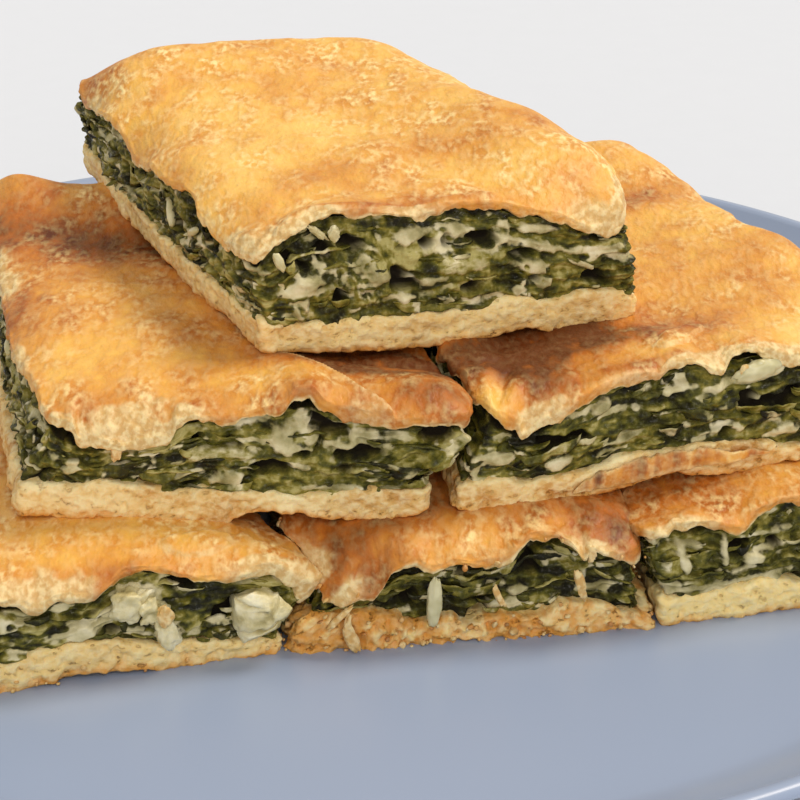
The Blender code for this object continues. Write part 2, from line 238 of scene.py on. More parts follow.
# What shows in a cut front: kind, share across, height, half length and half height in mm, then the tilt in
# degrees if it is tilted.
PATCHES = {
    "top": [
        ("void", 0.2, 18.9, 2.2, 1.7), ("void", 0.22, 9.3, 1.5, 2), ("swirl", 0.3, 15.6, 6, 5.6),
        ("cheese", 0.335, 13.3, 2.2, 1.4), ("cheese", 0.43, 20.1, 4.2, 1.7, 8),
        ("cheese", 0.55, 20.6, 3.9, 1.4, 5), ("cheese", 0.67, 18.9, 1.8, 2.5),
        ("cheese", 0.76, 19.6, 4.3, 1.1), ("brown", 0.56, 13.6, 5.4, 1.5),
        ("cheese", 0.74, 11.6, 3.7, 1.4, -8), ("cheese", 0.73, 7.8, 5.2, 1.2, 6),
        ("void", 0.735, 9, 1, 0.5), ("cheese", 0.15, 13.7, 2.8, 1.5, -10), ("void", 0.72, 14.6, 3.1, 0.7),
        ("cheese", 0.4, 7.6, 2.2, 1), ("cheese", 0.12, 8.4, 1.5, 2.4), ("dark", 0.5, 23.2, 20, 1),
        ("leaf", 0.42, 16, 3.4, 2.6, 10), ("leaf", 0.365, 17, 2.6, 3.6), ("rise", 1, 8, 3.4, 8.5)],
    "middle_left": [
        ("brown", 0.46, 13.2, 6.5, 1.5), ("cheese", 0.5, 8, 3.4, 1.8), ("cheese", 0.65, 15.6, 5.2, 3.2),
        ("swirl", 0.92, 11.3, 4.6, 4.8), ("bulge", 1, 12.5, 5, 3.6), ("void", 0.66, 23.4, 3.2, 2.2),
        ("cheese", 0.77, 15, 2.4, 1.2), ("cheese", 0.12, 10.4, 2.6, 0.9), ("leaf", 0.36, 16.5, 5, 2, 12)],
    "middle_right": [
        ("cheese", 0.325, 17.4, 2.8, 1.1, 20), ("cheese", 0.23, 7.2, 3, 1.4),
        ("cheese", 0.1, 9.7, 2.7, 1.4), ("cheese", 0.51, 18.9, 3.6, 1.1, 8),
        ("cheese", 0.61, 18.8, 3.8, 0.9, 4), ("cheese", 0.79, 8.4, 2.7, 1.3),
        ("void", 0.23, 10.6, 2.8, 1.2, -20), ("void", 0.635, 9.2, 1.1, 1.1), ("dark", 0.15, 13, 5, 1.4)],
    "bottom_left": [
        ("cheese", 0.6, 15.4, 3.6, 2.6), ("cheese", 0.67, 9.6, 1.8, 2.4), ("cheese", 0.46, 10.7, 1.9, 1.6),
        ("void", 0.84, 9.4, 4, 3.6), ("dark", 0.77, 14.4, 6, 4.5), ("cheese", 0.25, 14, 4, 1.6)],
    "bottom_centre": [
        ("void", 0.12, 13, 3, 2), ("void", 0.3, 9.4, 2, 1.6), ("void", 0.7, 19.4, 5, 1.4),
        ("void", 0.52, 8.6, 2.4, 1.2), ("void", 0.48, 14.6, 3.6, 1.3), ("void", 0.24, 12.6, 2.4, 1.3),
        ("cheese", 0.62, 10, 2.2, 1.3), ("cheese", 0.8, 12, 2.2, 1.6, 30)],
    "bottom_right": [
        ("cheese", 0.28, 13.1, 2.2, 1.1), ("cheese", 0.1, 15, 0.8, 3.6), ("cheese", 0.2, 15, 0.8, 3.4)],
}
SLICES = {"bottom_left": 11, "bottom_centre": 23, "bottom_right": 37, "middle_left": 41, "middle_right": 59,
          "top": 67}  # each slice and the seed of its unevenness

PUFF = {"top": 5.6}  # mm by which a lid rises over its slice's height
LID_THICKNESS = 3.0
BASE_THICKNESS = 6.4
ROLL = 12.0  # mm from the cut to where the lid starts to roll down to its lip
CORNER_RADIUS = 3.2
PITCH = 1.2  # mm from one pressed leaf to the next

# Plain height of each line at the right, back and left sides, and how far it swings from that, in mm.
PLAIN_LIP, PLAIN_FILLING = (18.6, 2.6), (18.0, 2.4)
PLAIN_BASE_TOP, PLAIN_BASE_LOW = (BASE_THICKNESS, 0.9), (0.1, 0.25)
CORNER_BLEND = 14  # mm over which two sides' lines run into each other

# A lip that stands higher than a flat lid's is set back by this share of what it stands higher. From 25
# degrees above it then looks higher than it is, by that times the tangent of 25 degrees, so it really lies
# lower.
SET_BACK = 0.6
SUNK = 0.28

# How crumbly a base's cut is, from 0 to 1, and where it is more so or less, as for SWELLS.
CRUMBLY = {"bottom_centre": 1.0, "bottom_left": 0.22}
BROKEN = {
    "middle_left": [(0.37, 0, 20, 9, 0.55)],
    "top": [(0.42, 0, 12, 6, 0.3)],
    "middle_right": [(0.1, 0, 9, 6, 0.3)],
    "bottom_centre": [(0.86, 0, 18, 8, -0.55), (0.46, 0, 6, 8, -0.4)],
}

# How much paler and yellower a base's crumb is, and how much more leaf than cheese a filling has.
PALE_DOUGH = {"top": 0.45, "bottom_left": 0.6, "bottom_centre": 0.7, "bottom_right": 1.0}
LEAFY = {"bottom_centre": 0.22, "middle_right": 0.16}

# How far the filling's mean surface lies in from the outline in mm, and how much of a lid's overhang at the
# sides the filling doesn't follow.
RECESS = {"bottom_centre": 3.2, "top": 0.9}
PLAIN_RECESS = 1.3
OVERHANG = {"top": 1.4, "middle_right": 0.5}

# How far the CAD layers' uneven outlines stand out past the cut at the sides and at the ends, in mm, and
# how much of the way to a square corner their drawn-in corners reach.
BASE_PAST_CUT, LID_PAST_CUT = (0.2, 0.7), (0.3, 1.6)
CORNER_REACH = math.sqrt(0.95)


# ---------------------------------------------------------------- small mathematics

def line_through(points, t):
    """Smooth line through hand-set points: a cubic between neighbours, level at each local top or
    bottom."""
    x, y = np.array(points, float).T
    step = np.diff(y) / np.diff(x)
    slope = np.concatenate([step[:1], np.zeros(len(x) - 2), step[-1:]])
    same = step[1:] * step[:-1] > 0
    slope[1:-1][same] = 2 * step[1:][same] * step[:-1][same] / (step[1:] + step[:-1])[same]
    k = np.clip(np.searchsorted(x, t) - 1, 0, len(x) - 2)
    run = x[k + 1] - x[k]
    q = np.clip((t - x[k]) / run, 0, 1)
    start = (1 + 2 * q) * (1 - q) ** 2 * y[k] + q * (1 - q) ** 2 * run * slope[k]
    return start + q * q * (3 - 2 * q) * y[k + 1] - q * q * (1 - q) * run * slope[k + 1]


def ease(t):
    """0 below 0 and 1 above 1, with a smooth step between."""
    t = np.clip(t, 0, 1)
    return t * t * (3 - 2 * t)


def columns(*parts):
    """Arrays of one shape, side by side as the columns of a new one."""
    return np.stack(parts, axis=-1)


def turned(x, y, degrees=0):
    """How far x and y reach along and across a direction that is turned anticlockwise by degrees."""
    c, s = math.cos(math.radians(degrees)), math.sin(math.radians(degrees))
    return c * x + s * y, c * y - s * x


def tapered(t, power):
    """Width of a strip along its run t from 0 to 1: full in the middle, rounded off to both ends."""
    return np.sqrt(np.clip(1 - np.abs(2 * t - 1) ** power, 0.004, 1))


LATTICE = 32
LATTICE_TILT = np.linalg.qr(np.array([[1.0, 0.6, 0.3], [-0.5, 1.0, 0.4], [0.2, -0.7, 1.0]]))[0]


def bumps(points, size, seed):
    """Smooth random value from -1 to 1 at each point: random numbers on the corners of a cubic lattice
    whose cells are size wide, eased between the eight corners. The lattice repeats after 32 cells."""
    table = np.random.default_rng(seed).uniform(-1, 1, (LATTICE,) * 3)
    cell = np.asarray(points) / size
    low = np.floor(cell).astype(int)
    part = ease(cell - low)
    total = 0.0
    for corner in range(8):
        step = np.array([corner & 1, corner >> 1 & 1, corner >> 2 & 1])
        i, j, k = np.moveaxis((low + step) % LATTICE, -1, 0)
        total = total + table[i, j, k] * np.prod(np.where(step == 1, part, 1 - part), axis=-1)
    return total


def rough(points, size, seed, octaves=3):
    """Sum of bumps at size, size / 2, size / 4 and so on, each half as high as the one before, on a lattice
    that is tilted so that its rows don't show."""
    tilted = np.asarray(points) @ LATTICE_TILT
    return sum(bumps(tilted, size / 2**k, seed + k) / 2**k for k in range(octaves))


# ---------------------------------------------------------------- where a slice lies

def layer_corners(node, side_out, end_out):
    """Four corners of a CAD layer's widest outline, front left first and anticlockwise: its outermost
    points along the diagonals, scaled from the drawn-in corners to the square ones, less how far the layer
    stands out past the cut."""
    points = np.array([v.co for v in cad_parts[node].data.vertices], float)
    diagonals = np.array([(-1, -1), (1, -1), (1, 1), (-1, 1)])
    found = points[np.argmax(points[:, :2] @ diagonals.T, axis=0)]
    middle = found.mean(axis=0)
    found[:, :2] = middle[:2] + (found - middle)[:, :2] / CORNER_REACH
    across = (found[1] + found[2] - found[0] - found[3])[:2]
    along = (found[2] + found[3] - found[0] - found[1])[:2]
    across, along = across / np.linalg.norm(across), along / np.linalg.norm(along)
    found[:, :2] -= diagonals[:, :1] * side_out * MM * across + diagonals[:, 1:] * end_out * MM * along
    return found


class Place:
    """A slice's place in the pile, read from its CAD base and lid."""

    def __init__(self, name):
        self.name = name
        self.seed = SLICES[name]
        self.low = layer_corners(name + "_base", *BASE_PAST_CUT)
        self.high = layer_corners(name + "_lid", *LID_PAST_CUT)
        self.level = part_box(name + "_base")[0].z / MM
        self.width = np.linalg.norm(self.low[1] - self.low[0]) / MM
        self.depth = np.linalg.norm(self.low[3] - self.low[0]) / MM
        self.puff = PUFF.get(name, 0.0)
        self.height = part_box(name + "_lid")[1].z / MM - self.level - self.puff
        self.rises = SIDE_RISE.get(name, (0, 0, 0))

    def points(self, x, y, z):
        """Points in metres from x across, y along and z up in the slice's own millimetres: its four corners
        at that height, blended by how far across and along the point is, after its sides have been moved
        out. The outset changes from the base's to the lid's over the filling."""
        x, y, z = np.broadcast_arrays(x, y, z)
        raised = ease((z - 5) / 13)
        x = x + raised * self.outset(LID_OUTSET, x, y) + (1 - raised) * self.outset(BASE_OUTSET, x, y)
        u, v = x / self.width, y / self.depth
        shares = ((1 - u) * (1 - v), u * (1 - v), u * v, (1 - u) * v)
        flat = 0.0
        for share, low, high in zip(shares, self.low, self.high):
            rise = ((z + self.level) * MM - low[2]) / (high[2] - low[2])
            flat = flat + share[..., None] * (low[:2] + rise[..., None] * (high[:2] - low[:2]))
        return np.concatenate([flat, ((z + self.level) * MM)[..., None]], axis=-1)

    def noise(self, x, y, z, size, octaves=3, salt=0):
        return rough(columns(*np.broadcast_arrays(x, y, z)), size, self.seed + 100 * salt, octaves)

    def side_line(self, lines, baked_line, x, y, salt, rises=(0, 0, 0)):
        """A line's height at any point over the slice: each of the four cut sides has its own line, and a
        point takes the nearest side's, blended by the cube of nearness. The front's is given. The others
        swing round a plain height and meet their neighbours at the corners."""
        plain, swing = baked_line
        front = line_through(lines[self.name], x / self.width)
        front_left, front_right = lines[self.name][0][1], lines[self.name][-1][1]
        right, back, left = (plain + rise for rise in rises)
        back_right, back_left = (right + back) / 2, (left + back) / 2

        def baked(run, length, start, end, side, middle):
            free = middle + swing * self.noise(run, 50.0 * side, 0.0, 17.0, 3, salt)
            near_start, near_end = ease(1 - run / CORNER_BLEND), ease(1 - (length - run) / CORNER_BLEND)
            return free * (1 - near_start - near_end) + start * near_start + end * near_end

        sides = (
            (y, front),
            (self.width - x, baked(y, self.depth, front_right, back_right, 1, right)),
            (self.depth - y, baked(x, self.width, back_left, back_right, 2, back)),
            (x, baked(y, self.depth, front_left, back_left, 3, left)),
        )
        nearness = [1 / (np.maximum(gap, 0) + 0.3) ** 3 for gap, _ in sides]
        return sum(n * height for n, (_, height) in zip(nearness, sides)) / sum(nearness)

    def seen_lip(self, x, y):
        """The lid's lower edge as it looks from the front, before it is set back."""
        return self.side_line(LIP_LINE, PLAIN_LIP, x, y, 1, self.rises)

    def lift(self, x, y):
        """How far a lip stands higher than a flat lid's would, up to 7 mm."""
        flat = self.height - 4.5 + 0.4 * self.puff + 0.8 * np.maximum(self.swell(x, y), 0)
        return np.clip(self.seen_lip(x, y) - flat, 0, 7)

    def recess(self, x, y, share, sideways):
        """How far in from the outline the filling's mean surface is, at a share of its height: its upper
        part follows a lip that is set back, and it leaves some of a side's overhang to the lid."""
        stands_out = np.maximum(np.abs(sideways * self.outset(LID_OUTSET, x, y)) - 1.2, 0)
        left_free = OVERHANG.get(self.name, 0.0) * stands_out * ease(1.5 * share)
        follows_lip = 0.65 * self.lift(x, y) * ease(1.6 * share - 0.6)
        return RECESS.get(self.name, PLAIN_RECESS) + follows_lip + left_free

    def lip(self, x, y):
        return self.seen_lip(x, y) - SUNK * self.lift(x, y)

    def filling_top(self, x, y):
        free = self.side_line(FILLING_LINE, PLAIN_FILLING, x, y, 1, self.rises)
        return np.minimum(free, self.lip(x, y) + 0.4)

    def base_top(self, x, y):
        return self.side_line(BASE_TOP_LINE, PLAIN_BASE_TOP, x, y, 2)

    def base_low(self, x, y):
        return self.side_line(BASE_LOW_LINE, PLAIN_BASE_LOW, x, y, 3)

    def spots(self, table, x, y):
        """For each listed spot: its distance from each point, as a share of its half widths, and its value."""
        for across, along, wide, long, value, *turn in table.get(self.name, ()):
            dx, dy = turned(x - across * self.width, y - along * self.depth, *turn)
            yield np.hypot(dx / wide, dy / long), value

    def bells(self, table, x, y):
        """Sum of a bell's shape over each spot, as high as its value."""
        return sum(value * np.exp(-far**2) for far, value in self.spots(table, x, y))

    def swell(self, x, y):
        return self.bells(SWELLS, x, y)

    def flakes(self, x, y):
        """Height of the loose flakes and the folds' steps on the lid, and how near a point is to their edges,
        where the lid paints a pale highlight. A fold steps up over its crease and runs out beyond it."""
        height = edge = 0.0 * x
        for far, value in self.spots(FLAKES, x, y):
            far = far + 0.25 * self.noise(x, y, 0, 4, 3, 27)
            height = height + value * ease((1 - far) / 0.14)
            edge = np.maximum(edge, np.exp(-((far - 0.94) / 0.1) ** 2))
        for across, along, turn, long, high, fade in FOLDS.get(self.name, ()):
            beside, beyond = turned(x - across * self.width, y - along * self.depth, turn)
            near = np.exp(-(beside / long) ** 4)
            beyond = beyond + 0.9 * self.noise(x, y, 0, 9, 2, 28)
            height = height + high * near * ease(-beyond / 0.9) * np.exp(-((beyond / fade) ** 2))
            edge = np.maximum(edge, near * np.exp(-((beyond + 1.1) / 0.7) ** 2))
        return height, edge

    def crown(self, x, y):
        """Upper face of the lid away from its edges: the slice's height, a puff that fades to the edges,
        broad swells, the unevenness of baked dough, and a rise over each place where the lip is higher than
        that."""
        u, v = np.clip(x / self.width, 0, 1), np.clip(y / self.depth, 0, 1)
        puff = self.puff * (4 * u * (1 - u)) ** 0.35 * (4 * v * (1 - v)) ** 0.35
        total = self.height + puff + 0.9 * self.noise(x, y, 0, 26, 1, 4) + 0.5 * self.noise(x, y, 0, 11, 2, 5)
        total = total + self.swell(x, y)
        edges = sum(self.lid_edge(x + shift, y) for shift in (-3, 0, 3)) / 3
        lift = np.maximum(edges + 0.8 - total, 0)
        return total + lift * np.exp(-(self.edge_gap(x, y) / 24) ** 2)

    def outset(self, lines, x, y):
        """How far a point of a layer is moved across because its side stands out, fading over 16 mm."""
        straight = [(0, 0.0), (1, 0.0)]
        along = np.clip(y / self.depth, 0, 1)
        right, left = (line_through(line, along) for line in lines.get(self.name, (straight, straight)))
        return right * ease(1.05 - (self.width - x) / 16) - left * ease(1.05 - x / 16)

    def drawn_in(self, x, y, share):
        """Points drawn in towards the slice's middle by a share of their distance to it."""
        return (x + share * (self.width / 2 - x), y + share * (self.depth / 2 - y))

    def browning_and_painted_shade(self, x, y):
        """How brown the crust is, about 0 to 1: the lid's own level, clouds and the listed spots. Some of the
        spots are painted shade where the top slice shades the middle lids."""
        total = BROWNING_LEVEL[self.name] + 0.22 * self.noise(x, y, 0, 24, 2, 14)
        total = total + self.bells(BROWNING_AND_PAINTED_SHADE, x, y)
        return np.clip(total, -0.3, 1.12)

    def blistered(self, x, y):
        """How thickly a zone of the crust is covered with small pale blisters, from 0 to 1."""
        return ease(0.45 + 1.1 * self.noise(x, 0.7 * y, 0, 14, 3, 15))

    def torn(self, x, y):
        """How far a point lies in the pale torn crumb at the lip, from 0 to 1: it reaches in from the edge at
        the front's listed places and, unevenly, here and there on the other sides."""
        reach = 3.5 * np.maximum(self.noise(x, y, 0, 14, 2, 17) - 0.15, 0)
        at_front = ease((16 - y) / 8)
        for across, half, far in TORN[self.name]:
            reach = reach + far * np.exp(-((x - across * self.width) / half) ** 2) * at_front
        ragged = 1 + 0.7 * self.noise(x, y, 0, 3.4, 3, 18)
        return ease(1.9 - 1.5 * self.edge_gap(x, y) / ((reach + 0.3) * ragged)) * ease(reach / 2)

    def edge_gap(self, x, y):
        """Distance in mm to the nearest cut side, with the creases where two are equally near smoothed
        out."""
        gaps = [np.maximum(g, 1e-3) for g in (x, y, self.width - x, self.depth - y)]
        return sum(g**-4.0 for g in gaps) ** -0.25

    def lid_edge(self, x, y):
        """Height of the lid's outer skin where it reaches the cut: a lip's thickness over its lower
        edge."""
        return self.lip(x, y) + 1.9 + 0.8 * self.noise(x, y, 0, 9, 1, 6)

    def lid_top(self, x, y):
        """The crown, rolling down over the last millimetres to the edge as a quarter of an ellipse does."""
        roll = ROLL + 3.0 * self.noise(x, y, 0, 20, 1, 7)
        t = np.clip(self.edge_gap(x, y) / roll, 0, 1)
        edge = self.lid_edge(x, y)
        return edge + (self.crown(x, y) - edge) * (1 - (1 - t) ** 2.1) ** 0.72

    def lid_under(self, x, y):
        """The lid's underside: the crown less its thickness, rolling down to the lip a little further
        in."""
        t = np.clip((self.edge_gap(x, y) - 2.0) / ROLL, 0, 1)
        lip = self.lip(x, y)
        return lip + (self.crown(x, y) - LID_THICKNESS - lip) * (1 - (1 - t) ** 2.2) ** 0.6


# ---------------------------------------------------------------- meshes from arrays

def make_piece(name, points, faces, material, slot, replaced=(), **attributes):
    """Writes points in metres and arrays of three- and four-sided faces to a smooth mesh, with one number per
    point for each attribute, and gives the piece its material and body."""
    mesh = bpy.data.meshes.new(name)
    points = np.ascontiguousarray(points, np.float32).reshape(-1, 3)
    sizes = np.concatenate([np.full(len(f), f.shape[1]) for f in faces])
    corners = np.concatenate([f.ravel() for f in faces])
    mesh.vertices.add(len(points))
    mesh.vertices.foreach_set("co", points.ravel())
    mesh.loops.add(len(corners))
    mesh.loops.foreach_set("vertex_index", corners.astype(np.int32))
    mesh.polygons.add(len(sizes))
    mesh.polygons.foreach_set("loop_start", np.concatenate([[0], np.cumsum(sizes)[:-1]]).astype(np.int32))
    mesh.polygons.foreach_set("use_smooth", np.ones(len(sizes), bool))
    for key, values in attributes.items():
        layer = mesh.attributes.new(key, "FLOAT", "POINT")
        layer.data.foreach_set("value", np.asarray(values, np.float32).ravel())
    mesh.update(calc_edges=True)
    mesh.materials.append(material)
    piece = bpy.data.objects.new(name, mesh)
    bpy.context.scene.collection.objects.link(piece)
    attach(piece, "root")
    if replaced:
        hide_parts(*replaced)
    return piece


def loft_faces(rings, around, first=0):
    """Four-sided faces between closed rings of points that are numbered one ring after another."""
    k = np.arange(around)
    n = (k + 1) % around
    rows = first + around * np.arange(rings - 1)[:, None]
    return columns(rows + k, rows + n, rows + around + n, rows + around + k).reshape(-1, 4)


def fan_faces(ring, centre, flip=False):
    """Triangles from each pair of neighbours on a closed ring to a centre point."""
    following = np.roll(ring, 1 if flip else -1)
    return columns(ring, following, np.full(len(ring), centre))


def closed_faces(rings, around, rising=False):
    """Faces of a closed shell of rings from the top down, or from the bottom up if it is rising. Its two
    end centres come after the rings' points."""
    first = np.arange(around)
    last = first + around * (rings - 1)
    quads = loft_faces(rings, around)
    return [quads if rising else quads[:, ::-1], fan_faces(first, rings * around, flip=rising),
            fan_faces(last, rings * around + 1, flip=not rising)]


def rounded_border(place, spacings, radius=CORNER_RADIUS):
    """Points round a slice's outline, anticlockwise from the front's left end: four straight sides, each
    with its own spacing, joined by quarter circles. Returns x, y and the outward direction at each."""
    w, d, r = place.width, place.depth, radius
    ends = ((w - r, r), (w - r, d - r), (r, d - r), (r, r))
    parts = []
    for side, ((cx, cy), spacing) in enumerate(zip(ends, spacings)):
        way = math.radians(90 * side - 90)
        out = np.array([math.cos(way), math.sin(way)])
        ahead = np.array([-out[1], out[0]])
        length = (w, d)[side % 2] - 2 * r
        count = round(length / spacing)
        run = np.arange(count) * length / count
        straight = np.array([cx, cy]) + r * out + (run[:, None] - length) * ahead
        parts.append((straight, np.tile(out, (count, 1))))
        steps = max(3, round(r * math.pi / 2 / spacing))
        bend = way + np.arange(steps) * math.pi / 2 / steps
        spokes = columns(np.cos(bend), np.sin(bend))
        parts.append((np.array([cx, cy]) + r * spokes, spokes))
    points, outward = (np.concatenate(column) for column in zip(*parts))
    return points[:, 0], points[:, 1], outward


# ---------------------------------------------------------------- materials

def linear(colour, alpha=1.0):
    """An sRGB hex colour as linear red, green, blue and alpha."""
    parts = [int(colour[i:i + 2], 16) / 255 for i in (1, 3, 5)]
    return tuple(p / 12.92 if p <= 0.04045 else ((p + 0.055) / 1.055) ** 2.4 for p in parts) + (alpha,)


def feed(tree, made, inputs):
    """Sets a node's inputs, named or in their order, each to a value or to the output that feeds it."""
    for key, value in inputs.items() if isinstance(inputs, dict) else enumerate(inputs):
        if isinstance(value, bpy.types.NodeSocket):
            tree.links.new(value, made.inputs[key])
        else:
            made.inputs[key].default_value = value


def add_node(tree, kind, inputs, output=0, stops=(), **settings):
    """Adds a shader node with its settings and inputs and returns one of its outputs. stops are a ramp's
    (place, hex colour)."""
    made = tree.nodes.new("ShaderNode" + kind)
    for key, value in settings.items():
        setattr(made, key, value)
    feed(tree, made, inputs)
    if stops:
        ramp = made.color_ramp
        while len(ramp.elements) < len(stops):
            ramp.elements.new(0.5)
        for element, (where, colour) in zip(ramp.elements, stops):
            element.position = where
            element.color = linear(colour)
    return made.outputs[output]


def start_material(name):
    """A new material: returns it, add_node for its own tree, and object coordinates."""
    made = bpy.data.materials.new(name)
    made.use_nodes = True
    add = partial(add_node, made.node_tree)
    return made, add, add("TexCoord", {}, "Object")


def finished(made, inputs):
    """The material once its shader has its inputs."""
    feed(made.node_tree, made.node_tree.nodes["Principled BSDF"], inputs)
    return made


def blotch(size_mm):
    """Scale of a noise on object coordinates in metres whose blotches are about size_mm across."""
    return 0.5 / (size_mm * MM)


# Settings that several nodes share. A MapRange's inputs are value, low, high and what it gives at low and
# high. A Mix of colours has its share at input 0, its colours at 6 and 7, and its result at output 2.
SMOOTH = {"interpolation_type": "SMOOTHSTEP"}
COLOURS = {"data_type": "RGBA"}
WEIGHED_SUM = {"operation": "MULTIPLY_ADD"}


def golden_crust():
    """Baked dough brushed with oil: the oven browns it unevenly, thin blisters stay pale yellow, and the cut
    lip that the oven didn't reach is cream. The brownest end also carries painted shade where a slice above
    shades a lid, and the pale rim carries a painted highlight along raised flake edges. Soft satin from the
    oil."""
    made, add, where = start_material("golden_crust")
    rim, brown, blister = (add("Attribute", {}, "Fac", attribute_name=name)
                           for name in ("rim", "brown", "blister"))
    rolled = add("Mapping", {"Vector": where, "Scale": (1.0, 0.55, 1.0)})
    clouds, mottle, specks = (add("TexNoise", {"Vector": rolled, "Scale": blotch(size), "Detail": detail})
                              for size, detail in ((8, 3), (2.2, 3), (0.7, 2)))
    toasted = brown
    for pattern, weight in ((clouds, 0.8), (mottle, 1.2), (specks, 0.3)):
        toasted = add("Math", (pattern, weight, toasted), **WEIGHED_SUM)
    # The ramp's darkest end serves both the brownest crust and the painted shade under the top slice.
    colour = add("ValToRGB", {"Fac": add("MapRange", (toasted, 0.8, 2.25))},
                 stops=[(0, "#f7c96b"), (0.2, "#eeb450"), (0.42, "#dc963c"), (0.68, "#b76820"),
                        (1, "#642e07")])
    pale = add("MapRange", (brown, 0.1, 1.2, 1.35, 0.06))
    for pattern, low, high, least in ((specks, 0.4, 0.66, 0.0), (mottle, 0.4, 0.6, 0.3),
                                      (clouds, 0.62, 0.42, 0.4), (blister, 0.0, 1.0, 0.6)):
        share = add("MapRange", (pattern, low, high, least, 1.0))
        pale = add("Math", (pale, share), operation="MULTIPLY")
    colour = add("Mix", {0: pale, 6: colour, 7: linear("#ffdf98")}, 2, **COLOURS)
    grainy = add("MapRange", (specks, 0.35, 0.65), **SMOOTH)
    crumb = add("Mix", {0: grainy, 6: linear("#d2ab6a"), 7: linear("#eed69e")}, 2, **COLOURS)
    colour = add("Mix", {0: rim, 6: colour, 7: crumb}, 2, **COLOURS)
    height = add("Math", (specks, 1.2, mottle), **WEIGHED_SUM)
    normal = add("Bump", {"Height": height, "Distance": 0.36 * MM, "Strength": 1.0}, "Normal")
    gloss = add("MapRange", (specks, 0.3, 0.7, 0.46, 0.62))
    return finished(made, {"Base Color": colour, "Normal": normal, "Roughness": gloss, "IOR": 1.45,
                           "Specular IOR Level": 0.4, "Subsurface Weight": 0.1,
                           "Subsurface Radius": (0.0016, 0.0009, 0.0004), "Subsurface Scale": 1.0})


def baked_base():
    """Thick dough baked under the wet filling: cream crumb with a few pores, golden at the lower edge where
    it lay on the tin."""
    made, add, where = start_material("baked_base")
    skin, pale = (add("Attribute", {}, "Fac", attribute_name=name) for name in ("skin", "pale"))
    pressed = add("Mapping", {"Vector": where, "Scale": (1.0, 1.0, 1.5)})
    clouds, fine = (add("TexNoise", {"Vector": pressed, "Scale": blotch(size), "Detail": 5})
                    for size in (6, 1.0))
    crumb = add("ValToRGB", {"Fac": clouds},
                stops=[(0.32, "#c18a42"), (0.43, "#dbae63"), (0.55, "#eccb86"), (0.67, "#fae7b0")])
    crumb = add("Mix", {0: pale, 6: crumb, 7: linear("#ffdf92")}, 2, **COLOURS)
    pores = add("MapRange", (fine, 0.38, 0.28, 0.0, 0.6), **SMOOTH)
    open_skin = add("MapRange", (skin, 0.0, 0.3, 0.45, 1.0))
    pores = add("Math", (pores, open_skin), operation="MULTIPLY")
    grains = add("MapRange", (fine, 0.42, 0.62, 0.0, 0.6))
    floury = add("MapRange", (skin, 0.3, 0.8, 1.0, 0.35))
    grains = add("Math", (grains, floury), operation="MULTIPLY")
    uneven = add("Math", (clouds, 1.1, skin), **WEIGHED_SUM)
    crisp = add("MapRange", (uneven, 0.7, 1.4, 0.0, 0.9), **SMOOTH)
    colour = crumb
    # The pores' dark brown is painted shade in the crumb's holes.
    for share, tint in ((crisp, "#dc9434"), (grains, "#fceab4"), (pores, "#a9702f")):
        colour = add("Mix", {0: share, 6: colour, 7: linear(tint)}, 2, **COLOURS)
    height = add("Math", (fine, pores), operation="SUBTRACT")
    height = add("Math", (clouds, 1.2, height), **WEIGHED_SUM)
    normal = add("Bump", {"Height": height, "Distance": 0.65 * MM, "Strength": 1.0}, "Normal")
    return finished(made, {"Base Color": colour, "Normal": normal, "Roughness": 0.62,
                           "Specular IOR Level": 0.35, "Subsurface Weight": 0.12,
                           "Subsurface Radius": (0.002, 0.0013, 0.0006), "Subsurface Scale": 1.0})


def spinach_and_cheese():
    """Wilted spinach leaves pressed in layers with soft white cheese: dark olive green with yellower ribs,
    cream cheese that takes a green tint at its edges, and a wet film that glints on the crinkles. The
    glints' grit is coarser than the real film's, so that it shows."""
    made, add, where = start_material("spinach_and_cheese")
    cheese, tone, deep = (add("Attribute", {}, "Fac", attribute_name=name)
                          for name in ("cheese", "tone", "deep"))
    flat = add("Mapping", {"Vector": where, "Scale": (0.3, 0.3, 1.0)})
    strands = add("TexNoise", {"Vector": flat, "Scale": blotch(0.6), "Detail": 3, "Distortion": 0.5})
    grit, fine, clouds = (add("TexNoise", {"Vector": where, "Scale": blotch(size), "Detail": detail})
                          for size, detail in ((0.35, 2), (0.8, 3), (2.4, 4)))
    green = tone
    for pattern, weight in ((clouds, 0.8), (fine, 0.6), (grit, 0.4), (strands, 0.9)):
        green = add("Math", (pattern, weight, green), **WEIGHED_SUM)
    leaf = add("ValToRGB", {"Fac": add("MapRange", (green, 1.25, 2.45))},
               stops=[(0, "#1c1a04"), (0.26, "#363408"), (0.5, "#575414"), (0.75, "#84792c"), (1, "#b5a966")])
    curd = add("ValToRGB", {"Fac": clouds},
               stops=[(0.3, "#857c4a"), (0.42, "#b1a674"), (0.55, "#d6ca9c"), (0.75, "#f0e6c4")])
    veined = add("Math", (fine, 1.1, cheese), **WEIGHED_SUM)
    veined = add("Math", (strands, 1.0, veined), **WEIGHED_SUM)
    smear = add("MapRange", (veined, 1.25, 1.85), **SMOOTH)
    colour = add("Mix", {0: smear, 6: leaf, 7: curd}, 2, **COLOURS)
    # Painted shade: near black in the open seams, in the voids and on the top under the lid.
    colour = add("Mix", {0: deep, 6: colour, 7: linear("#1a1203")}, 2, **COLOURS)
    height = add("Math", (grit, 0.5, strands), **WEIGHED_SUM)
    height = add("Math", (fine, 0.5, height), **WEIGHED_SUM)
    soft = add("MapRange", (cheese, 0.2, 0.9, 0.9, 0.4))
    normal = add("Bump", {"Height": height, "Distance": 0.55 * MM, "Strength": soft}, "Normal")
    wet = add("MapRange", (grit, 0.5, 0.6, 0.75, 0.22), **SMOOTH)
    gloss = add("Math", (wet, deep), operation="ADD", use_clamp=True)
    return finished(made, {"Base Color": colour, "Normal": normal, "Roughness": gloss,
                           "Specular IOR Level": 0.35})


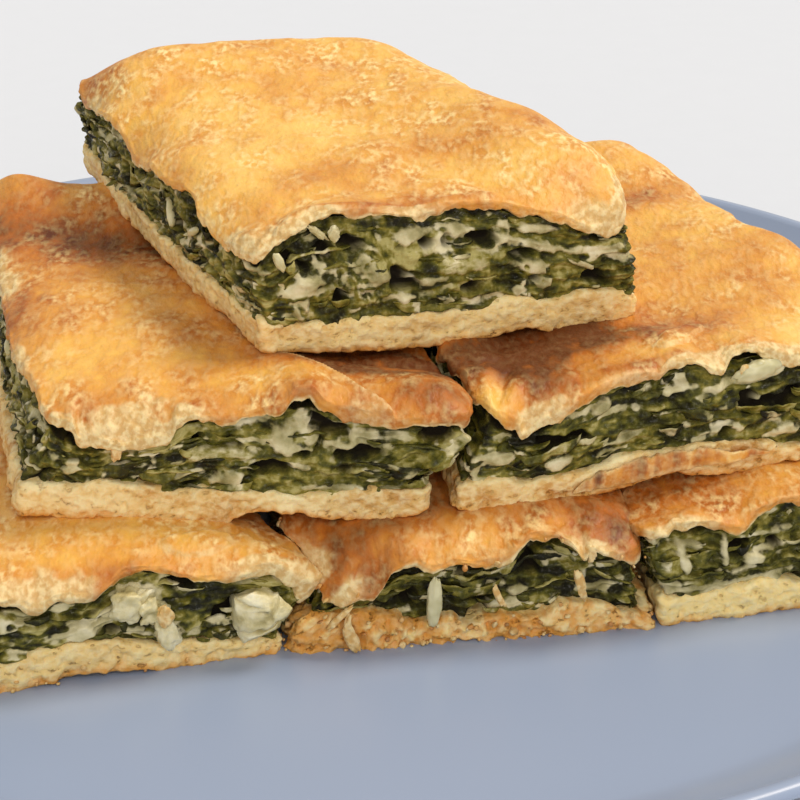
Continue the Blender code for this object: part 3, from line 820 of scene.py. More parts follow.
def white_cheese():
    """Crumbly white cheese, baked and moist: cream with pale yellow veins."""
    made, add, where = start_material("white_cheese")
    clouds, fine = (add("TexNoise", {"Vector": where, "Scale": blotch(size), "Detail": detail})
                    for size, detail in ((2.0, 5), (0.7, 4)))
    colour = add("ValToRGB", {"Fac": clouds},
                 stops=[(0.3, "#a99a5f"), (0.42, "#cdbf8a"), (0.54, "#e2d6a8"), (0.7, "#efe6c2")])
    height = add("Math", (clouds, 1.5, fine), **WEIGHED_SUM)
    normal = add("Bump", {"Height": height, "Distance": 0.5 * MM, "Strength": 0.9}, "Normal")
    return finished(made, {"Base Color": colour, "Normal": normal, "Roughness": 0.45,
                           "Subsurface Weight": 0.2, "Subsurface Radius": (0.0015, 0.0013, 0.0009),
                           "Subsurface Scale": 1.0})


def boiled_rice():
    """Boiled rice: pale, faintly see-through and wet."""
    made, add, where = start_material("boiled_rice")
    clouds = add("TexNoise", {"Vector": where, "Scale": blotch(2.2), "Detail": 2})
    colour = add("ValToRGB", {"Fac": clouds}, stops=[(0.35, "#bdb37e"), (0.65, "#ddd5aa")])
    return finished(made, {"Base Color": colour, "Roughness": 0.25, "Subsurface Weight": 0.3,
                           "Subsurface Radius": (0.0015, 0.0014, 0.001), "Subsurface Scale": 1.0})


def glazed_stoneware():
    """Stoneware dipped in a blue-grey glaze: smooth and satin, with the glaze's faint waviness and
    clouding."""
    made, add, where = start_material("glazed_stoneware")
    clouds, ripples = (add("TexNoise", {"Vector": where, "Scale": blotch(size), "Detail": detail})
                       for size, detail in ((70, 2), (22, 1)))
    colour = add("Mix", {0: clouds, 6: linear("#92a1bb"), 7: linear("#9eabc3")}, 2, **COLOURS)
    normal = add("Bump", {"Height": ripples, "Distance": 0.12 * MM, "Strength": 1.0}, "Normal")
    return finished(made, {"Base Color": colour, "Normal": normal, "Roughness": 0.3, "IOR": 1.5})


def pale_floor():
    """Matt white studio paper."""
    made, add, where = start_material("pale_floor")
    fibres = add("TexNoise", {"Vector": where, "Scale": blotch(5), "Detail": 2})
    colour = add("Mix", {0: fibres, 6: linear("#d8dce3"), 7: linear("#dadee5")}, 2, **COLOURS)
    return finished(made, {"Base Color": colour, "Roughness": 0.9, "Specular IOR Level": 0.0})


# ---------------------------------------------------------------- lid

# Millimetres between a lid's grid points.
LID_SPACING = {"top": 0.45, "middle_left": 0.47, "middle_right": 0.47}
BOTTOM_SPACING = 0.64
DRAWN_IN = 1.9  # mm by which a lid's corner is drawn in


def add_lid(place, material):
    """A closed sheet of crust. Its upper face is a grid over the slice whose corners are drawn in and whose
    sides wander; round its edge a blunt lip bends under as half an ellipse, and rings carry the underside
    back in to a centre point."""
    spacing = LID_SPACING.get(place.name, BOTTOM_SPACING)
    lanes, rows = round(place.width / spacing), round(place.depth / spacing)
    a, b = np.meshgrid(np.linspace(-1, 1, lanes + 1), np.linspace(-1, 1, rows + 1), indexing="ij")
    a, b = (t * (1.15 - 0.15 * t * t) for t in (a, b))  # closer together near the edges
    x = place.width / 2 * (1 + a) - DRAWN_IN * a * np.abs(b) ** 18
    y = place.depth / 2 * (1 + b) - DRAWN_IN * b * np.abs(a) ** 12
    gap_x, gap_y = np.minimum(x, place.width - x), np.minimum(y, place.depth - y)
    push = 0.8 * place.noise(x, y, 0, 13, 2, 13) - SET_BACK * place.lift(x, y)
    blister, torn = place.blistered(x, y), place.torn(x, y)
    flake, painted_edge_highlight = place.flakes(x, y)
    z = place.lid_top(x, y)
    z = z + (0.05 + 0.06 * blister) * place.noise(x, 0.6 * y, 0, 2.2, 3, 16)
    z = z + 0.15 * place.noise(x, y, 0, 5, 1, 8) + flake
    z = z + 0.4 * torn * place.noise(x, y, 0, 1.9, 3, 19)
    wide_x = x + np.sign(a) * push * ease(1 - gap_x / 9)
    wide_y = y + np.sign(b) * push * ease(1 - gap_y / 9)
    around = [(i, 0) for i in range(lanes)] + [(lanes, j) for j in range(rows)]
    around += [(i, rows) for i in range(lanes, 0, -1)] + [(0, j) for j in range(rows, 0, -1)]
    edge = np.array([i * (rows + 1) + j for i, j in around])
    cut_x, cut_y = x.ravel()[edge], y.ravel()[edge]
    ex, ey = wide_x.ravel()[edge], wide_y.ravel()[edge]
    ahead = columns(*(np.roll(line, -2) - np.roll(line, 2) for line in (cut_x, cut_y)))
    ahead /= np.linalg.norm(ahead, axis=1)[:, None]
    out = columns(ahead[:, 1], -ahead[:, 0])
    z_edge = z.ravel()[edge]
    lip = place.lip(cut_x, cut_y) + 1.0 * place.noise(ex, ey, 0, 2.8, 4, 9)
    swing = 0.5 + 0.8 * place.noise(ex, ey, 0, 9, 3, 10)
    half = np.maximum(z_edge - lip, 0.9) / 2
    middle = z_edge - half
    rings, rims = [], []
    for turn in np.radians([68, 48, 30, 14, 0, -14, -30, -48, -70, -95]):
        bulge = 0.42 * math.cos(turn) + 0.1
        grit = 0.3 * place.noise(ex, ey, 3 * turn, 1.7, 3, 11)
        outset = bulge * (1 + 0.3 * swing) + swing * 0.3 * (1 - math.sin(turn))
        outset = outset + grit * math.cos(turn) - 0.1
        rings.append((ex + out[:, 0] * outset, ey + out[:, 1] * outset, middle + half * math.sin(turn)))
        rims.append(np.maximum(ease((swing - 0.9 - math.sin(turn)) / 0.7), torn.ravel()[edge]))
    looks = (0.8, 0.45, 0.3, 0.3, 0.3, 0.3, 0.3)
    for share, look in zip((0.03, 0.06, 0.1, 0.16, 0.25, 0.4, 0.6), looks):
        rx, ry = place.drawn_in(ex, ey, share)
        under = np.minimum(np.maximum(place.lid_under(rx, ry), lip + 8 * share), place.crown(rx, ry) - 1.2)
        rings.append((rx, ry, under + 0.25 * place.noise(rx, ry, 3, 2.2, 2, 12) * (share > 0.05)))
        rims.append(np.full_like(ex, look))
    count = len(x.ravel())
    shell = np.concatenate([columns(*r) for r in rings])
    middle = np.array([place.width / 2]), np.array([place.depth / 2])
    centre = [*np.concatenate(middle), place.crown(*middle)[0] - LID_THICKNESS]
    local = np.concatenate([columns(wide_x.ravel(), wide_y.ravel(), z.ravel()), shell, [centre]])
    i, j = np.meshgrid(np.arange(lanes), np.arange(rows), indexing="ij")
    k = (i * (rows + 1) + j).ravel()
    top = columns(k, k + rows + 1, k + rows + 2, k + 1)
    ring = count + np.arange(len(edge))
    join = columns(edge, ring, np.roll(ring, -1), np.roll(edge, -1))
    sides = loft_faces(len(rings), len(edge), count)[:, ::-1]
    last = ring + (len(rings) - 1) * len(edge)
    hidden = np.zeros(len(local) - count)
    faces = [top, join, sides, fan_faces(last, len(local) - 1, flip=True)]
    brown = np.concatenate([place.browning_and_painted_shade(x, y).ravel(), place.browning_and_painted_shade(*local[count:, :2].T)])
    make_piece(place.name + "_crust", place.points(*local.T), faces, material, "golden_crust",
               [place.name + "_lid"], brown=brown,
               # The rim colour is the pale torn crumb, and a painted highlight along the flakes' and the
               # fold's raised edges.
               rim=np.concatenate([np.maximum(0.85 * torn, 0.5 * painted_edge_highlight).ravel(), *rims, [0.3]]),
               blister=np.concatenate([blister.ravel(), hidden]))


# ---------------------------------------------------------------- base

# A base's corners, and mm between its points along the front, right, back and left.
BASE_CORNER = 2.2
BASE_SPACING = (0.33, 0.7, 0.7, 0.5)

# Rings down a base's cut: mm in from the outline, share of the height, and skin.
BASE_CUT = (
    (1.4, 1.0, 0), (0.7, 0.98, 0), (0.25, 0.93, 0), (0.05, 0.86, 0), (0, 0.79, 0), (0, 0.72, 0), (0, 0.65, 0),
    (0, 0.58, 0), (0, 0.51, 0.03), (0, 0.44, 0.08), (0, 0.37, 0.16), (0, 0.3, 0.26), (0, 0.24, 0.37),
    (0, 0.18, 0.5), (0.03, 0.12, 0.62), (0.12, 0.07, 0.74), (0.35, 0.03, 0.86), (0.8, 0, 0.95), (1.6, 0, 1),
)


def add_base(place, material):
    """A slab from its upper face round the cut and under: rings of points down the cut face, uneven by a
    few tenths of a millimetre and by more where it is crumbly, and a centre point above and below. Its skin
    runs from the pale crumb, 0, to the browned underside, 1."""
    x, y, out = rounded_border(place, BASE_SPACING, BASE_CORNER)
    level, pale = CRUMBLY.get(place.name, 0.0), PALE_DOUGH.get(place.name, 0.0)
    crumbly = level + place.bells(BROKEN, x, y)
    top, low = place.base_top(x, y), place.base_low(x, y)
    broken = place.noise(x, y, 0, 5, 3, 20)
    low = low + (0.25 + 0.5 * crumbly) * place.noise(x, y, 0, 2.2, 2, 21)
    top = top + 0.45 * place.noise(x, y, 0, 3.2, 3, 22)
    rings, skins = [], []
    for inset, share, skin in BASE_CUT:
        z = low + share * (top - low)
        grit = 0.42 * place.noise(x, y, z, 1.9, 4, 23) + 0.4 * broken
        crumb = 0.5 * place.noise(x, y, z, 2.6, 2, 27) + 0.7 * place.noise(x, y, z, 1.0, 2, 28)
        crumb = crumb - 1.0 * ease((place.noise(x, y, z, 2.0, 2, 29) - 0.15) / 0.25)
        grit = grit + crumbly * crumb
        grit = grit - 0.5 * ease((place.noise(x, y, 1.4 * z, 1.6, 2, 26) - 0.48) / 0.2)
        outset = (grit + 0.35 * place.noise(x, y, 2 * z, 7, 1, 24) if inset < 1.5 else 0) - inset
        rings.append(columns(x + out[:, 0] * outset, y + out[:, 1] * outset, z))
        # A crumbly cut's skin is scorched brown, and browner where the crumb lies lower: painted shade in its
        # pits.
        scorched_and_pit_shade = 0.68 - 0.5 * crumb + 0.7 * place.noise(x, y, z, 4, 2, 25)
        skins.append(np.clip(skin + np.minimum(level, crumbly) * scorched_and_pit_shade, 0, 1))
    for share in (0.1, 0.2, 0.4):
        rings.insert(0, columns(*place.drawn_in(x, y, share), top))
        rings.append(columns(*place.drawn_in(x, y, share), low))
        skins = [0 * x, *skins, 0 * x + 1]
    ends = [[place.width / 2, place.depth / 2, BASE_THICKNESS], [place.width / 2, place.depth / 2, 0.1]]
    local = np.concatenate(rings + [ends])
    faces = closed_faces(len(rings), len(x))
    make_piece(place.name + "_slab", place.points(*local.T), faces, material, "baked_base",
               [place.name + "_base"], skin=np.concatenate(skins + [[0, 1]]), pale=np.full(len(local), pale))


# ---------------------------------------------------------------- filling

PATCH_STAND = {"bulge": 2.4, "rise": 1.3}  # mm by which such a patch stands out
FILLING_MIDDLE = 18  # mm, top of the filling under the lid's middle


def inside(place, x, y, z, across, height, long, high, tilt=0):
    """How far inside a listed patch of the cut front a point is, from 0 to 1: an ellipse with a ragged edge
    that fades out behind the front."""
    dx, dz = turned(x - across * place.width, z - height, tilt)
    far = np.hypot(dx / long, dz / high)
    far = far + 0.45 * place.noise(x, y, z, 2.4, 3, 53)
    return ease((1.25 - far) / 0.55) * ease((9 - y) / 5)


def packed_layers(place, x, y, z):
    """Leaves and cheese pressed into layers. A layer's number is the height over the pitch, bent by waves of
    three sizes, and wound up round each swirl. Every layer takes its own depth, tone and kind from noise at
    its number, and the listed patches then change what they cover. Returns how far each point stands out in
    mm, and its shares of cheese, of tone and of painted shade: a dark colour painted into the open seams and
    the voids, where shade falls."""
    bent = z + 2.3 * place.noise(x, y, z, 17, 1, 50) + 1.1 * place.noise(x, y, 1.3 * z, 6.5, 2, 51)
    level = (bent + 0.55 * place.noise(x, y, z, 2.4, 2, 52)) / PITCH
    patches = PATCHES.get(place.name, ())
    for kind, *where in patches:
        if kind == "swirl":
            across, height, long, high = where
            dx, dz = (x - across * place.width) / long, (z - height) / high
            wound = 1.9 * np.hypot(dx, dz) * long / PITCH + np.arctan2(dz, dx) / (2 * np.pi)
            near = inside(place, x, y, z, *where)
            level = level + near * (wound + 40 - level)
    layer = np.floor(level)
    part = level - layer
    own = 17.3 * layer
    leafy = LEAFY.get(place.name, 0.0)
    richness = place.noise(x, y, own, 11, 2, 54)
    cheese = ease((richness - 0.16 - leafy + 0.4 * place.noise(x, y, z, 2.2, 3, 61)) / 0.35)
    tone = 0.5 - leafy + 0.5 * place.noise(x, y, 1.7 * own, 4.5, 2, 55)
    stand = 0.95 * place.noise(x, y, 2.3 * own, 6, 2, 56)
    seam = np.exp(-(np.minimum(part, 1 - part) / 0.15) ** 2)
    opened = ease(0.5 + 2.5 * place.noise(x, y, z, 7, 1, 57))
    # Painted shade in the open seams between layers.
    deep = 0.85 * seam * opened * (1 - 0.5 * cheese)
    stand = stand - 0.8 * seam * opened
    tone = tone + 0.5 * seam * (1 - opened)
    crinkle = place.noise(x, y, z, 1.9, 2, 58)
    fine = place.noise(x, y, z, 0.8, 2, 62)
    stand = stand + (0.5 * crinkle + 0.2 * fine) * (1 - 0.65 * cheese)
    tone = tone + 0.25 * crinkle + 0.25 * fine
    void = ease((place.noise(x, y, 1.8 * z, 6.5, 2, 59) - 0.5) / 0.14)
    for kind, *where in patches:
        if kind == "swirl":
            continue
        near = inside(place, x, y, z, *where)
        if kind in ("cheese", "brown"):
            cheese = cheese + near * (1 - cheese)
            stand = stand + near * (0.5 * (1 + near) - stand) + 0.12 * near * crinkle
            deep, void = deep * (1 - near), void * (1 - near)
        if kind == "brown":
            cheese = cheese - 0.5 * near
            tone = tone + near * (0.95 - tone)
        elif kind == "void":
            void = np.maximum(void, near)
        elif kind == "dark":
            cheese, tone = cheese * (1 - near), tone - 0.5 * near
        elif kind == "leaf":
            cheese, tone = cheese * (1 - near), tone + 0.4 * near
            deep, void = deep * (1 - near), void * (1 - near)
        elif kind in PATCH_STAND:
            stand = stand + PATCH_STAND[kind] * near
    holes = ease((place.noise(x, y, z, 2.4, 2, 60) - 0.45) / 0.15) * cheese
    return stand - 3.2 * void - 0.8 * holes, cheese * (1 - 0.8 * holes), tone, np.maximum(deep, void)


def soften(field):
    """Mean of each point and its neighbours round and up a wall, so that a layer's edge isn't jagged."""
    field = (np.roll(field, 1, axis=1) + 2 * field + np.roll(field, -1, axis=1)) / 4
    edge = np.pad(field, ((1, 1), (0, 0)), mode="edge")
    return (edge[:-2] + 2 * field + edge[2:]) / 4


# How finely the walls are divided: rows up, and mm between points along the front, right, back and left.
WALL_ROWS = 61
WALL_SPACING = {"top": (0.24, 0.6, 0.6, 0.42), "middle_left": (0.26, 0.8, 0.7, 0.5)}
PLAIN_WALL_SPACING = (0.27, 0.9, 0.9, 0.9)


def add_wall(place, material):
    """The filling's cut surface: a closed wall of packed layers from the base up to the lid, with a bumpy
    top that runs in under the lid."""
    x, y, out = rounded_border(place, WALL_SPACING.get(place.name, PLAIN_WALL_SPACING))
    low, high = place.base_top(x, y) - 0.9, place.filling_top(x, y) + 0.3
    share = np.linspace(0, 1, WALL_ROWS)[:, None]
    z = low + share * (high - low)
    wide_x, wide_y = np.broadcast_to(x, z.shape), np.broadcast_to(y, z.shape)
    stand, cheese, tone, deep = (soften(field) for field in packed_layers(place, wide_x, wide_y, z))
    depth = place.recess(x, y, share, out[:, 0]) - np.clip(stand, -4.2, 3.2)
    walls = [columns(wide_x - out[:, 0] * depth, wide_y - out[:, 1] * depth, z)]
    looks = [[cheese], [tone], [deep]]
    edge_x, edge_y, _ = np.moveaxis(walls[0][-1], -1, 0)
    for drawn, rise in ((0.02, 0.1), (0.04, 0.2), (0.07, 0.3), (0.12, 0.4), (0.2, 0.6), (0.4, 0.8)):
        rx, ry = place.drawn_in(edge_x, edge_y, drawn)
        rz = high + rise + 0.5 * place.noise(rx, ry, 0, 2.4, 2, 42)
        rz = np.minimum(rz, place.lid_under(rx, ry) - 0.8)
        walls.append(columns(rx, ry, rz)[None])
        mottled = 0.4 + 0.5 * place.noise(rx, ry, 0, 2, 2, 44)
        # The top under the lid gets 0.8 of painted shade.
        for look, value in zip(looks, (0 * x, mottled, 0 * x + 0.8)):
            look.append(value[None])
    around = len(x)
    low_ring = columns(*place.drawn_in(x, y, 0.3), low)
    rings = np.concatenate([low_ring[None], *walls]).reshape(-1, 3)
    middle = [place.width / 2, place.depth / 2]
    local = np.concatenate([rings, [middle + [BASE_THICKNESS - 1], middle + [FILLING_MIDDLE]]])
    faces = closed_faces(len(rings) // around, around, rising=True)
    looks = [[np.zeros(around), *(part.ravel() for part in look), [0, 0]] for look in looks]
    cheese, tone, deep = (np.concatenate(look) for look in looks)
    make_piece(place.name + "_packed_filling", place.points(*local.T), faces, material, "spinach_filling",
               [place.name + "_filling"], cheese=cheese, tone=tone, deep=deep)


class Rim:
    """Walks round a slice's cut sides by distance: gives points and the outward direction at any
    distance."""

    def __init__(self, place):
        self.x, self.y, out = rounded_border(place, (0.8,) * 4)
        step = np.hypot(np.roll(self.x, -1) - self.x, np.roll(self.y, -1) - self.y)
        self.length = step.sum()
        self.run = np.concatenate([[0], np.cumsum(step)[:-1]])
        window = 9  # smooths the outward direction over the corners, so that deep sheets don't fold there
        smooth = sum(np.roll(out, k, axis=0) for k in range(-window, window + 1))
        self.out = smooth / np.linalg.norm(smooth, axis=1)[:, None]

    def at(self, run):
        run = np.mod(run, self.length)
        return [np.interp(run, self.run, column, period=self.length)
                for column in (self.x, self.y, self.out[:, 0], self.out[:, 1])]


def strip_points(rim, run, height, inset, tilt, curl, width, thickness):
    """Closed flattened sheets along the cut: arrays by sheet and step. Each sheet's section starts at its
    outer edge, goes in by width along an arc that starts at tilt below level and turns by curl, and has
    rounded edges and a thickness. Returns points by sheet, step and section point."""
    along = np.array([0, 0.05, 0.33, 0.75, 1, 0.75, 0.33, 0.05])
    half = np.array([0, 0.42, 0.5, 0.4, 0, -0.4, -0.5, -0.42])
    tilt, curl, width, thickness = (np.asarray(v)[..., None] for v in (tilt, curl, width, thickness))
    chord = width * along * np.sinc(curl * along / 2 / np.pi)
    way = tilt + curl * along / 2
    face = tilt + curl * along
    inward = inset[..., None] + chord * np.cos(way) + half * thickness * np.sin(face)
    z = height[..., None] - chord * np.sin(way) + half * thickness * np.cos(face)
    x, y, out_x, out_y = (v[..., None] for v in rim.at(run))
    return x - out_x * inward, y - out_y * inward, z


def strip_faces(sheets, steps):
    """Faces of closed strips with eight points to a section, capped at both ends."""
    one = loft_faces(steps, 8)
    caps = np.array([(0, 1, 2, 3), (0, 3, 4, 7), (4, 5, 6, 7)])
    one = np.concatenate([one, caps[:, ::-1], caps + 8 * (steps - 1)])
    return (one[None] + (8 * steps * np.arange(sheets))[:, None, None]).reshape(-1, 4)


def wander(place, run, sheet, size, salt, octaves=2):
    """A value from about -1 to 1 that changes along the cut, different for each sheet."""
    return place.noise(run, sheet * 13.7, 0, size, octaves, salt)


# Torn leaves that stand out of the filling, and short shreds that lie on its face: how many, steps along
# each, then ranges of length, width and thickness in mm, of tilt in degrees and of inset in mm, how sharply
# the ends taper, and seed.
SHEETS = {
    "leaves": (70, 36, (5, 16), (1.4, 3.2), (0.35, 0.7), (-10, 70), (0.1, 1.3), 3.0, 1),
    "shreds": (110, 14, (1.5, 6), (0.8, 2.0), (0.3, 0.6), (30, 110), (0.2, 1.4), 2.2, 2),
}
SHEET_LEVELS = (0.03, 0.95)  # share of the filling's height
SHEET_CURLS = (-50, 90)  # degrees
SHEET_TONES = (0.0, 0.9)


def add_sheets(place, rim, kind, material):
    """Scatters sheets over the cut sides. Each is a run of steps along the cut at its own level, that
    swings up and down and in and out, rolls and bends as it goes, and tapers at both ends."""
    count, steps, lengths, widths, thicknesses, tilts, insets, taper, seed = SHEETS[kind]
    random = np.random.default_rng(place.seed * 1000 + seed)
    start = np.sort(random.uniform(0, rim.length, count))[:, None]
    share = random.uniform(*SHEET_LEVELS, (count, 1))
    length = random.uniform(*lengths, (count, 1))
    t = np.linspace(0, 1, steps)[None]
    run = start + length * (t - 0.5)
    sheet = np.broadcast_to(np.arange(count)[:, None] + seed * 31.0, run.shape)
    end = tapered(t, taper)
    x, y, out_x, _ = rim.at(run)
    low, high = place.base_top(x, y), place.filling_top(x, y)
    swing = 1.5 * wander(place, run, sheet, 9, 31) + 0.5 * wander(place, run, sheet, 2.6, 32, 3)
    height = low + share * (high - low) + 0.8 * swing
    inset = random.uniform(*insets, (count, 1)) - 1.3 + place.recess(x, y, share, out_x)
    inset = inset + 0.7 * wander(place, run, sheet, 6, 33)
    least = -0.4 + 2.2 * ease(4 * share - 3)  # keeps the uppermost sheets in under the lip
    inset = np.maximum(inset + 0.4 * wander(place, run, sheet, 1.9, 34, 3), least) + 1.2 * (1 - end)
    tilt = np.radians(random.uniform(*tilts, (count, 1)) + 50 * wander(place, run, sheet, 7, 35))
    curl = np.radians(random.uniform(*SHEET_CURLS, (count, 1)) + 40 * wander(place, run, sheet, 5, 37))
    width = random.uniform(*widths, (count, 1)) * end * (1 + 0.3 * wander(place, run, sheet, 4, 38))
    thickness = random.uniform(*thicknesses, (count, 1)) * end * (1 + 0.3 * wander(place, run, sheet, 3, 36))
    x, y, z = strip_points(rim, run, height, inset, tilt, curl, width, thickness)
    z = np.clip(z, low[..., None] + 0.1, high[..., None] - 0.2)
    tone = random.uniform(*SHEET_TONES, (count, 1, 1)) + 0.35 * wander(place, run, sheet, 2.2, 39)[..., None]
    # The lighter outer edge is a painted highlight where the sheet's cut edge catches the light.
    tone = tone + np.array([0.1, 0.07, 0, 0, 0, 0, 0, 0.07])  # lighter at the outer edge
    cheese = 0.75 * ease((place.noise(x, y, z, 3.2, 3, 63) - 0.15) / 0.5)
    make_piece(f"{place.name}_{kind}", place.points(x, y, z), [strip_faces(count, steps)], material,
               "spinach_filling", cheese=cheese, tone=tone, deep=0 * tone)


def add_filling(place, material):
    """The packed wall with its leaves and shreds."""
    rim = Rim(place)
    add_wall(place, material)
    for kind in SHEETS:
        add_sheets(place, rim, kind, material)


# ---------------------------------------------------------------- loose bits

def nuggets(centres, sizes, turns, lump, seed, rings=7, around=10, blunt=1.0):
    """Lumpy closed balls: a unit sphere's grid, made boxier by a power below 1, pushed in and out by noise,
    stretched to each size, and turned about x, y and z. Returns points in mm and faces."""
    rise = np.linspace(0, np.pi, rings + 2)
    turn = np.arange(around) * 2 * np.pi / around
    ring = columns(np.sin(rise[1:-1, None]) * np.cos(turn), np.sin(rise[1:-1, None]) * np.sin(turn),
                   np.cos(rise[1:-1, None]) + 0 * turn).reshape(-1, 3)
    ball = np.concatenate([ring, [(0, 0, 1), (0, 0, -1)]])
    ball = np.sign(ball) * np.abs(ball) ** blunt
    centres, sizes = np.reshape(centres, (-1, 1, 3)), np.reshape(sizes, (-1, 1, 3))
    shift = 37.0 * np.arange(len(centres))[:, None, None]
    bulge = 1 + lump * rough(ball * 1.3 + shift, 1.0, seed, 3)[..., None]
    points = ball * bulge * sizes
    for axis, angle in enumerate(np.radians(np.reshape(turns, (-1, 3))).T):
        c, s = np.cos(angle)[:, None], np.sin(angle)[:, None]
        p, q = (points[..., (axis + k) % 3].copy() for k in (1, 2))
        points[..., (axis + 1) % 3], points[..., (axis + 2) % 3] = c * p - s * q, s * p + c * q
    quads, *caps = closed_faces(rings, around)
    caps = np.concatenate(caps)
    shift = (np.arange(len(centres)) * len(ball))[:, None, None]
    return points + centres, [(quads[None] + shift).reshape(-1, 4), (caps[None] + shift).reshape(-1, 3)]


CHUNK_SHIFT = (2.0, -0.6, -1.4)  # mm from the CAD chunk's middle
CHUNK_CUTS = 26


def add_chunk(material):
    """The large piece of white cheese in the lower left slice's front: a block that is narrower below, its
    surface pressed flat on random planes as crumbly cheese breaks, with three cracks in its front."""
    low, high = (np.array(corner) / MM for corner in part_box("cheese_chunk"))
    middle, size = (low + high) / 2, (high - low) / 2
    points, faces = nuggets([(0, 0, 0)], [size * (1.3, 1.3, 1.3)], [(0, 0, 0)], 0.08, 5, 70, 100, 0.6)
    points = points[0]
    x, z = points[:, 0] / size[0], points[:, 2] / size[2]
    points[:, 0] = points[:, 0] * (0.78 + 0.22 * z) + 0.12 * z * size[0]
    points[:, 2] *= 1 - 0.12 * x
    random = np.random.default_rng(12)
    for _ in range(CHUNK_CUTS):
        way = random.normal(0, 1, 3) * (1, 0.7, 1)
        way /= np.linalg.norm(way)
        beyond = points @ way - random.uniform(0.72, 0.9) * np.max(points @ way)
        points -= 0.92 * np.maximum(beyond, 0)[:, None] * way
    points += 0.16 * rough(points, 1.6, 6, 3)[:, None] * points / np.linalg.norm(points, axis=1)[:, None]
    bend = 0.2 * rough(points, 3.0, 7, 3)
    for line in (x - 0.3 * z - 0.1, z + 0.7 * x - 0.35, z - 0.2 * x + 0.5):
        points[:, 1] += 1.3 * np.exp(-((line + bend) / 0.07) ** 2) * (points[:, 1] < 0)
    points += middle + CHUNK_SHIFT
    make_piece("large_cheese_chunk", points * MM, faces, material, "white_cheese", ["cheese_chunk"])


def add_grains(place, material):
    """Grains of boiled rice that stick out of the sides and the back, 4 to 7 mm long."""
    random = np.random.default_rng(place.seed * 7)
    rim = Rim(place)
    count = 9
    run = random.uniform(1.15, 0.92 * rim.length / place.width, count) * place.width  # past the front
    x, y, out_x, out_y = rim.at(run)
    low, high = place.base_top(x, y), place.filling_top(x, y)
    z = low + random.uniform(0.15, 0.85, count) * (high - low)
    centres = columns(x - 0.8 * out_x, y - 0.8 * out_y, z)
    sizes = columns(random.uniform(2.2, 3.6, count), *random.uniform(0.8, 1.05, (2, count)))
    facing = np.degrees(np.arctan2(out_x, -out_y))
    turns = columns(0 * run, random.uniform(-80, 80, count), facing)
    points, faces = nuggets(centres, sizes, turns, 0.08, place.seed, 9, 10)
    make_piece(place.name + "_rice", place.points(*np.moveaxis(points, -1, 0)), faces, material,
               "white_cheese")


# Bits that show in the cut fronts: slice, kind, share across, height, how far its middle stands out, three
# half sizes and tilt in degrees.
BITS = (
    ("bottom_centre", "rice", 0.37, 10.4, 0.4, (1.6, 1.3, 5.4), 4),
    ("middle_right", "rice", 0.70, 22.4, 0.3, (5.6, 1.6, 2.3), 10),
    ("top", "rice", 0.075, 19.6, 0.6, (1.0, 0.8, 2.1), 20),
    ("top", "cheese", 0.195, 25.0, 0.5, (0.6, 0.5, 2.0), 44),
    ("top", "cheese", 0.235, 24.6, 0.7, (1.3, 0.5, 1.5), -24),
    ("middle_left", "crust", 0.225, 15.0, 0.6, (1.0, 0.8, 2.4), 10),
    ("middle_right", "crust", 0.665, 22.4, 0.6, (1.1, 0.7, 1.6), 0),
    ("bottom_centre", "crust", 0.15, 4.8, 1.4, (0.9, 0.7, 4.2), 24),
    ("bottom_centre", "crust", 0.105, 8.6, 1.0, (0.7, 0.6, 2.4), -16),
    ("bottom_centre", "crust", 0.835, 18.6, 0.5, (1.0, 0.7, 1.7), 0),
    ("bottom_centre", "crust", 0.56, 10.6, 0.6, (0.7, 0.6, 2.6), 24),
    ("bottom_centre", "crust", 0.8, 12.0, 0.8, (0.9, 0.7, 3.2), 12),
    ("bottom_left", "cheese", 0.585, 15.6, -0.4, (4.2, 2.2, 3.2), -14),
    ("bottom_left", "cheese", 0.63, 14.0, -0.2, (2.6, 2.0, 2.6), 30),
    ("bottom_left", "cheese", 0.675, 9.2, -0.6, (1.9, 1.6, 3.4), 24),
    ("bottom_left", "crust", 0.66, 13.4, 1.6, (1.3, 0.9, 2.3), 24),
)


# How lumpy each kind is, and the power that makes it boxier.
BIT_SHAPES = {"rice": (0.14, 1.0), "crust": (0.3, 0.7), "cheese": (0.5, 0.85)}


def add_bits(places, materials):
    """Single grains and scraps that show in a cut front, each at its listed place and set back with its lip.
    """
    for number, (name, kind, across, height, stand, size, tilt) in enumerate(BITS):
        place = places[name]
        x = across * place.width
        back = place.lift(x, 0.0) * ease(1.6 * height / place.seen_lip(x, 0.0) - 0.6)
        centre = (x, SET_BACK * back - stand, height - SUNK * back)
        lump, blunt = BIT_SHAPES[kind]
        points, faces = nuggets([centre], [size], [(0, -tilt, 0)], lump, number, 30, 44, blunt)
        points += 0.08 * rough(points, 0.9, number, 2)[..., None] * (points - centre)
        look = np.zeros(len(points[0]))
        make_piece(f"{name}_{kind}_bit_{number}", place.points(*np.moveaxis(points[0], -1, 0)), faces,
                   materials[kind], "golden_crust" if kind == "crust" else "white_cheese",
                   rim=look + 0.8, brown=look + 0.1, blister=look + 0.5)


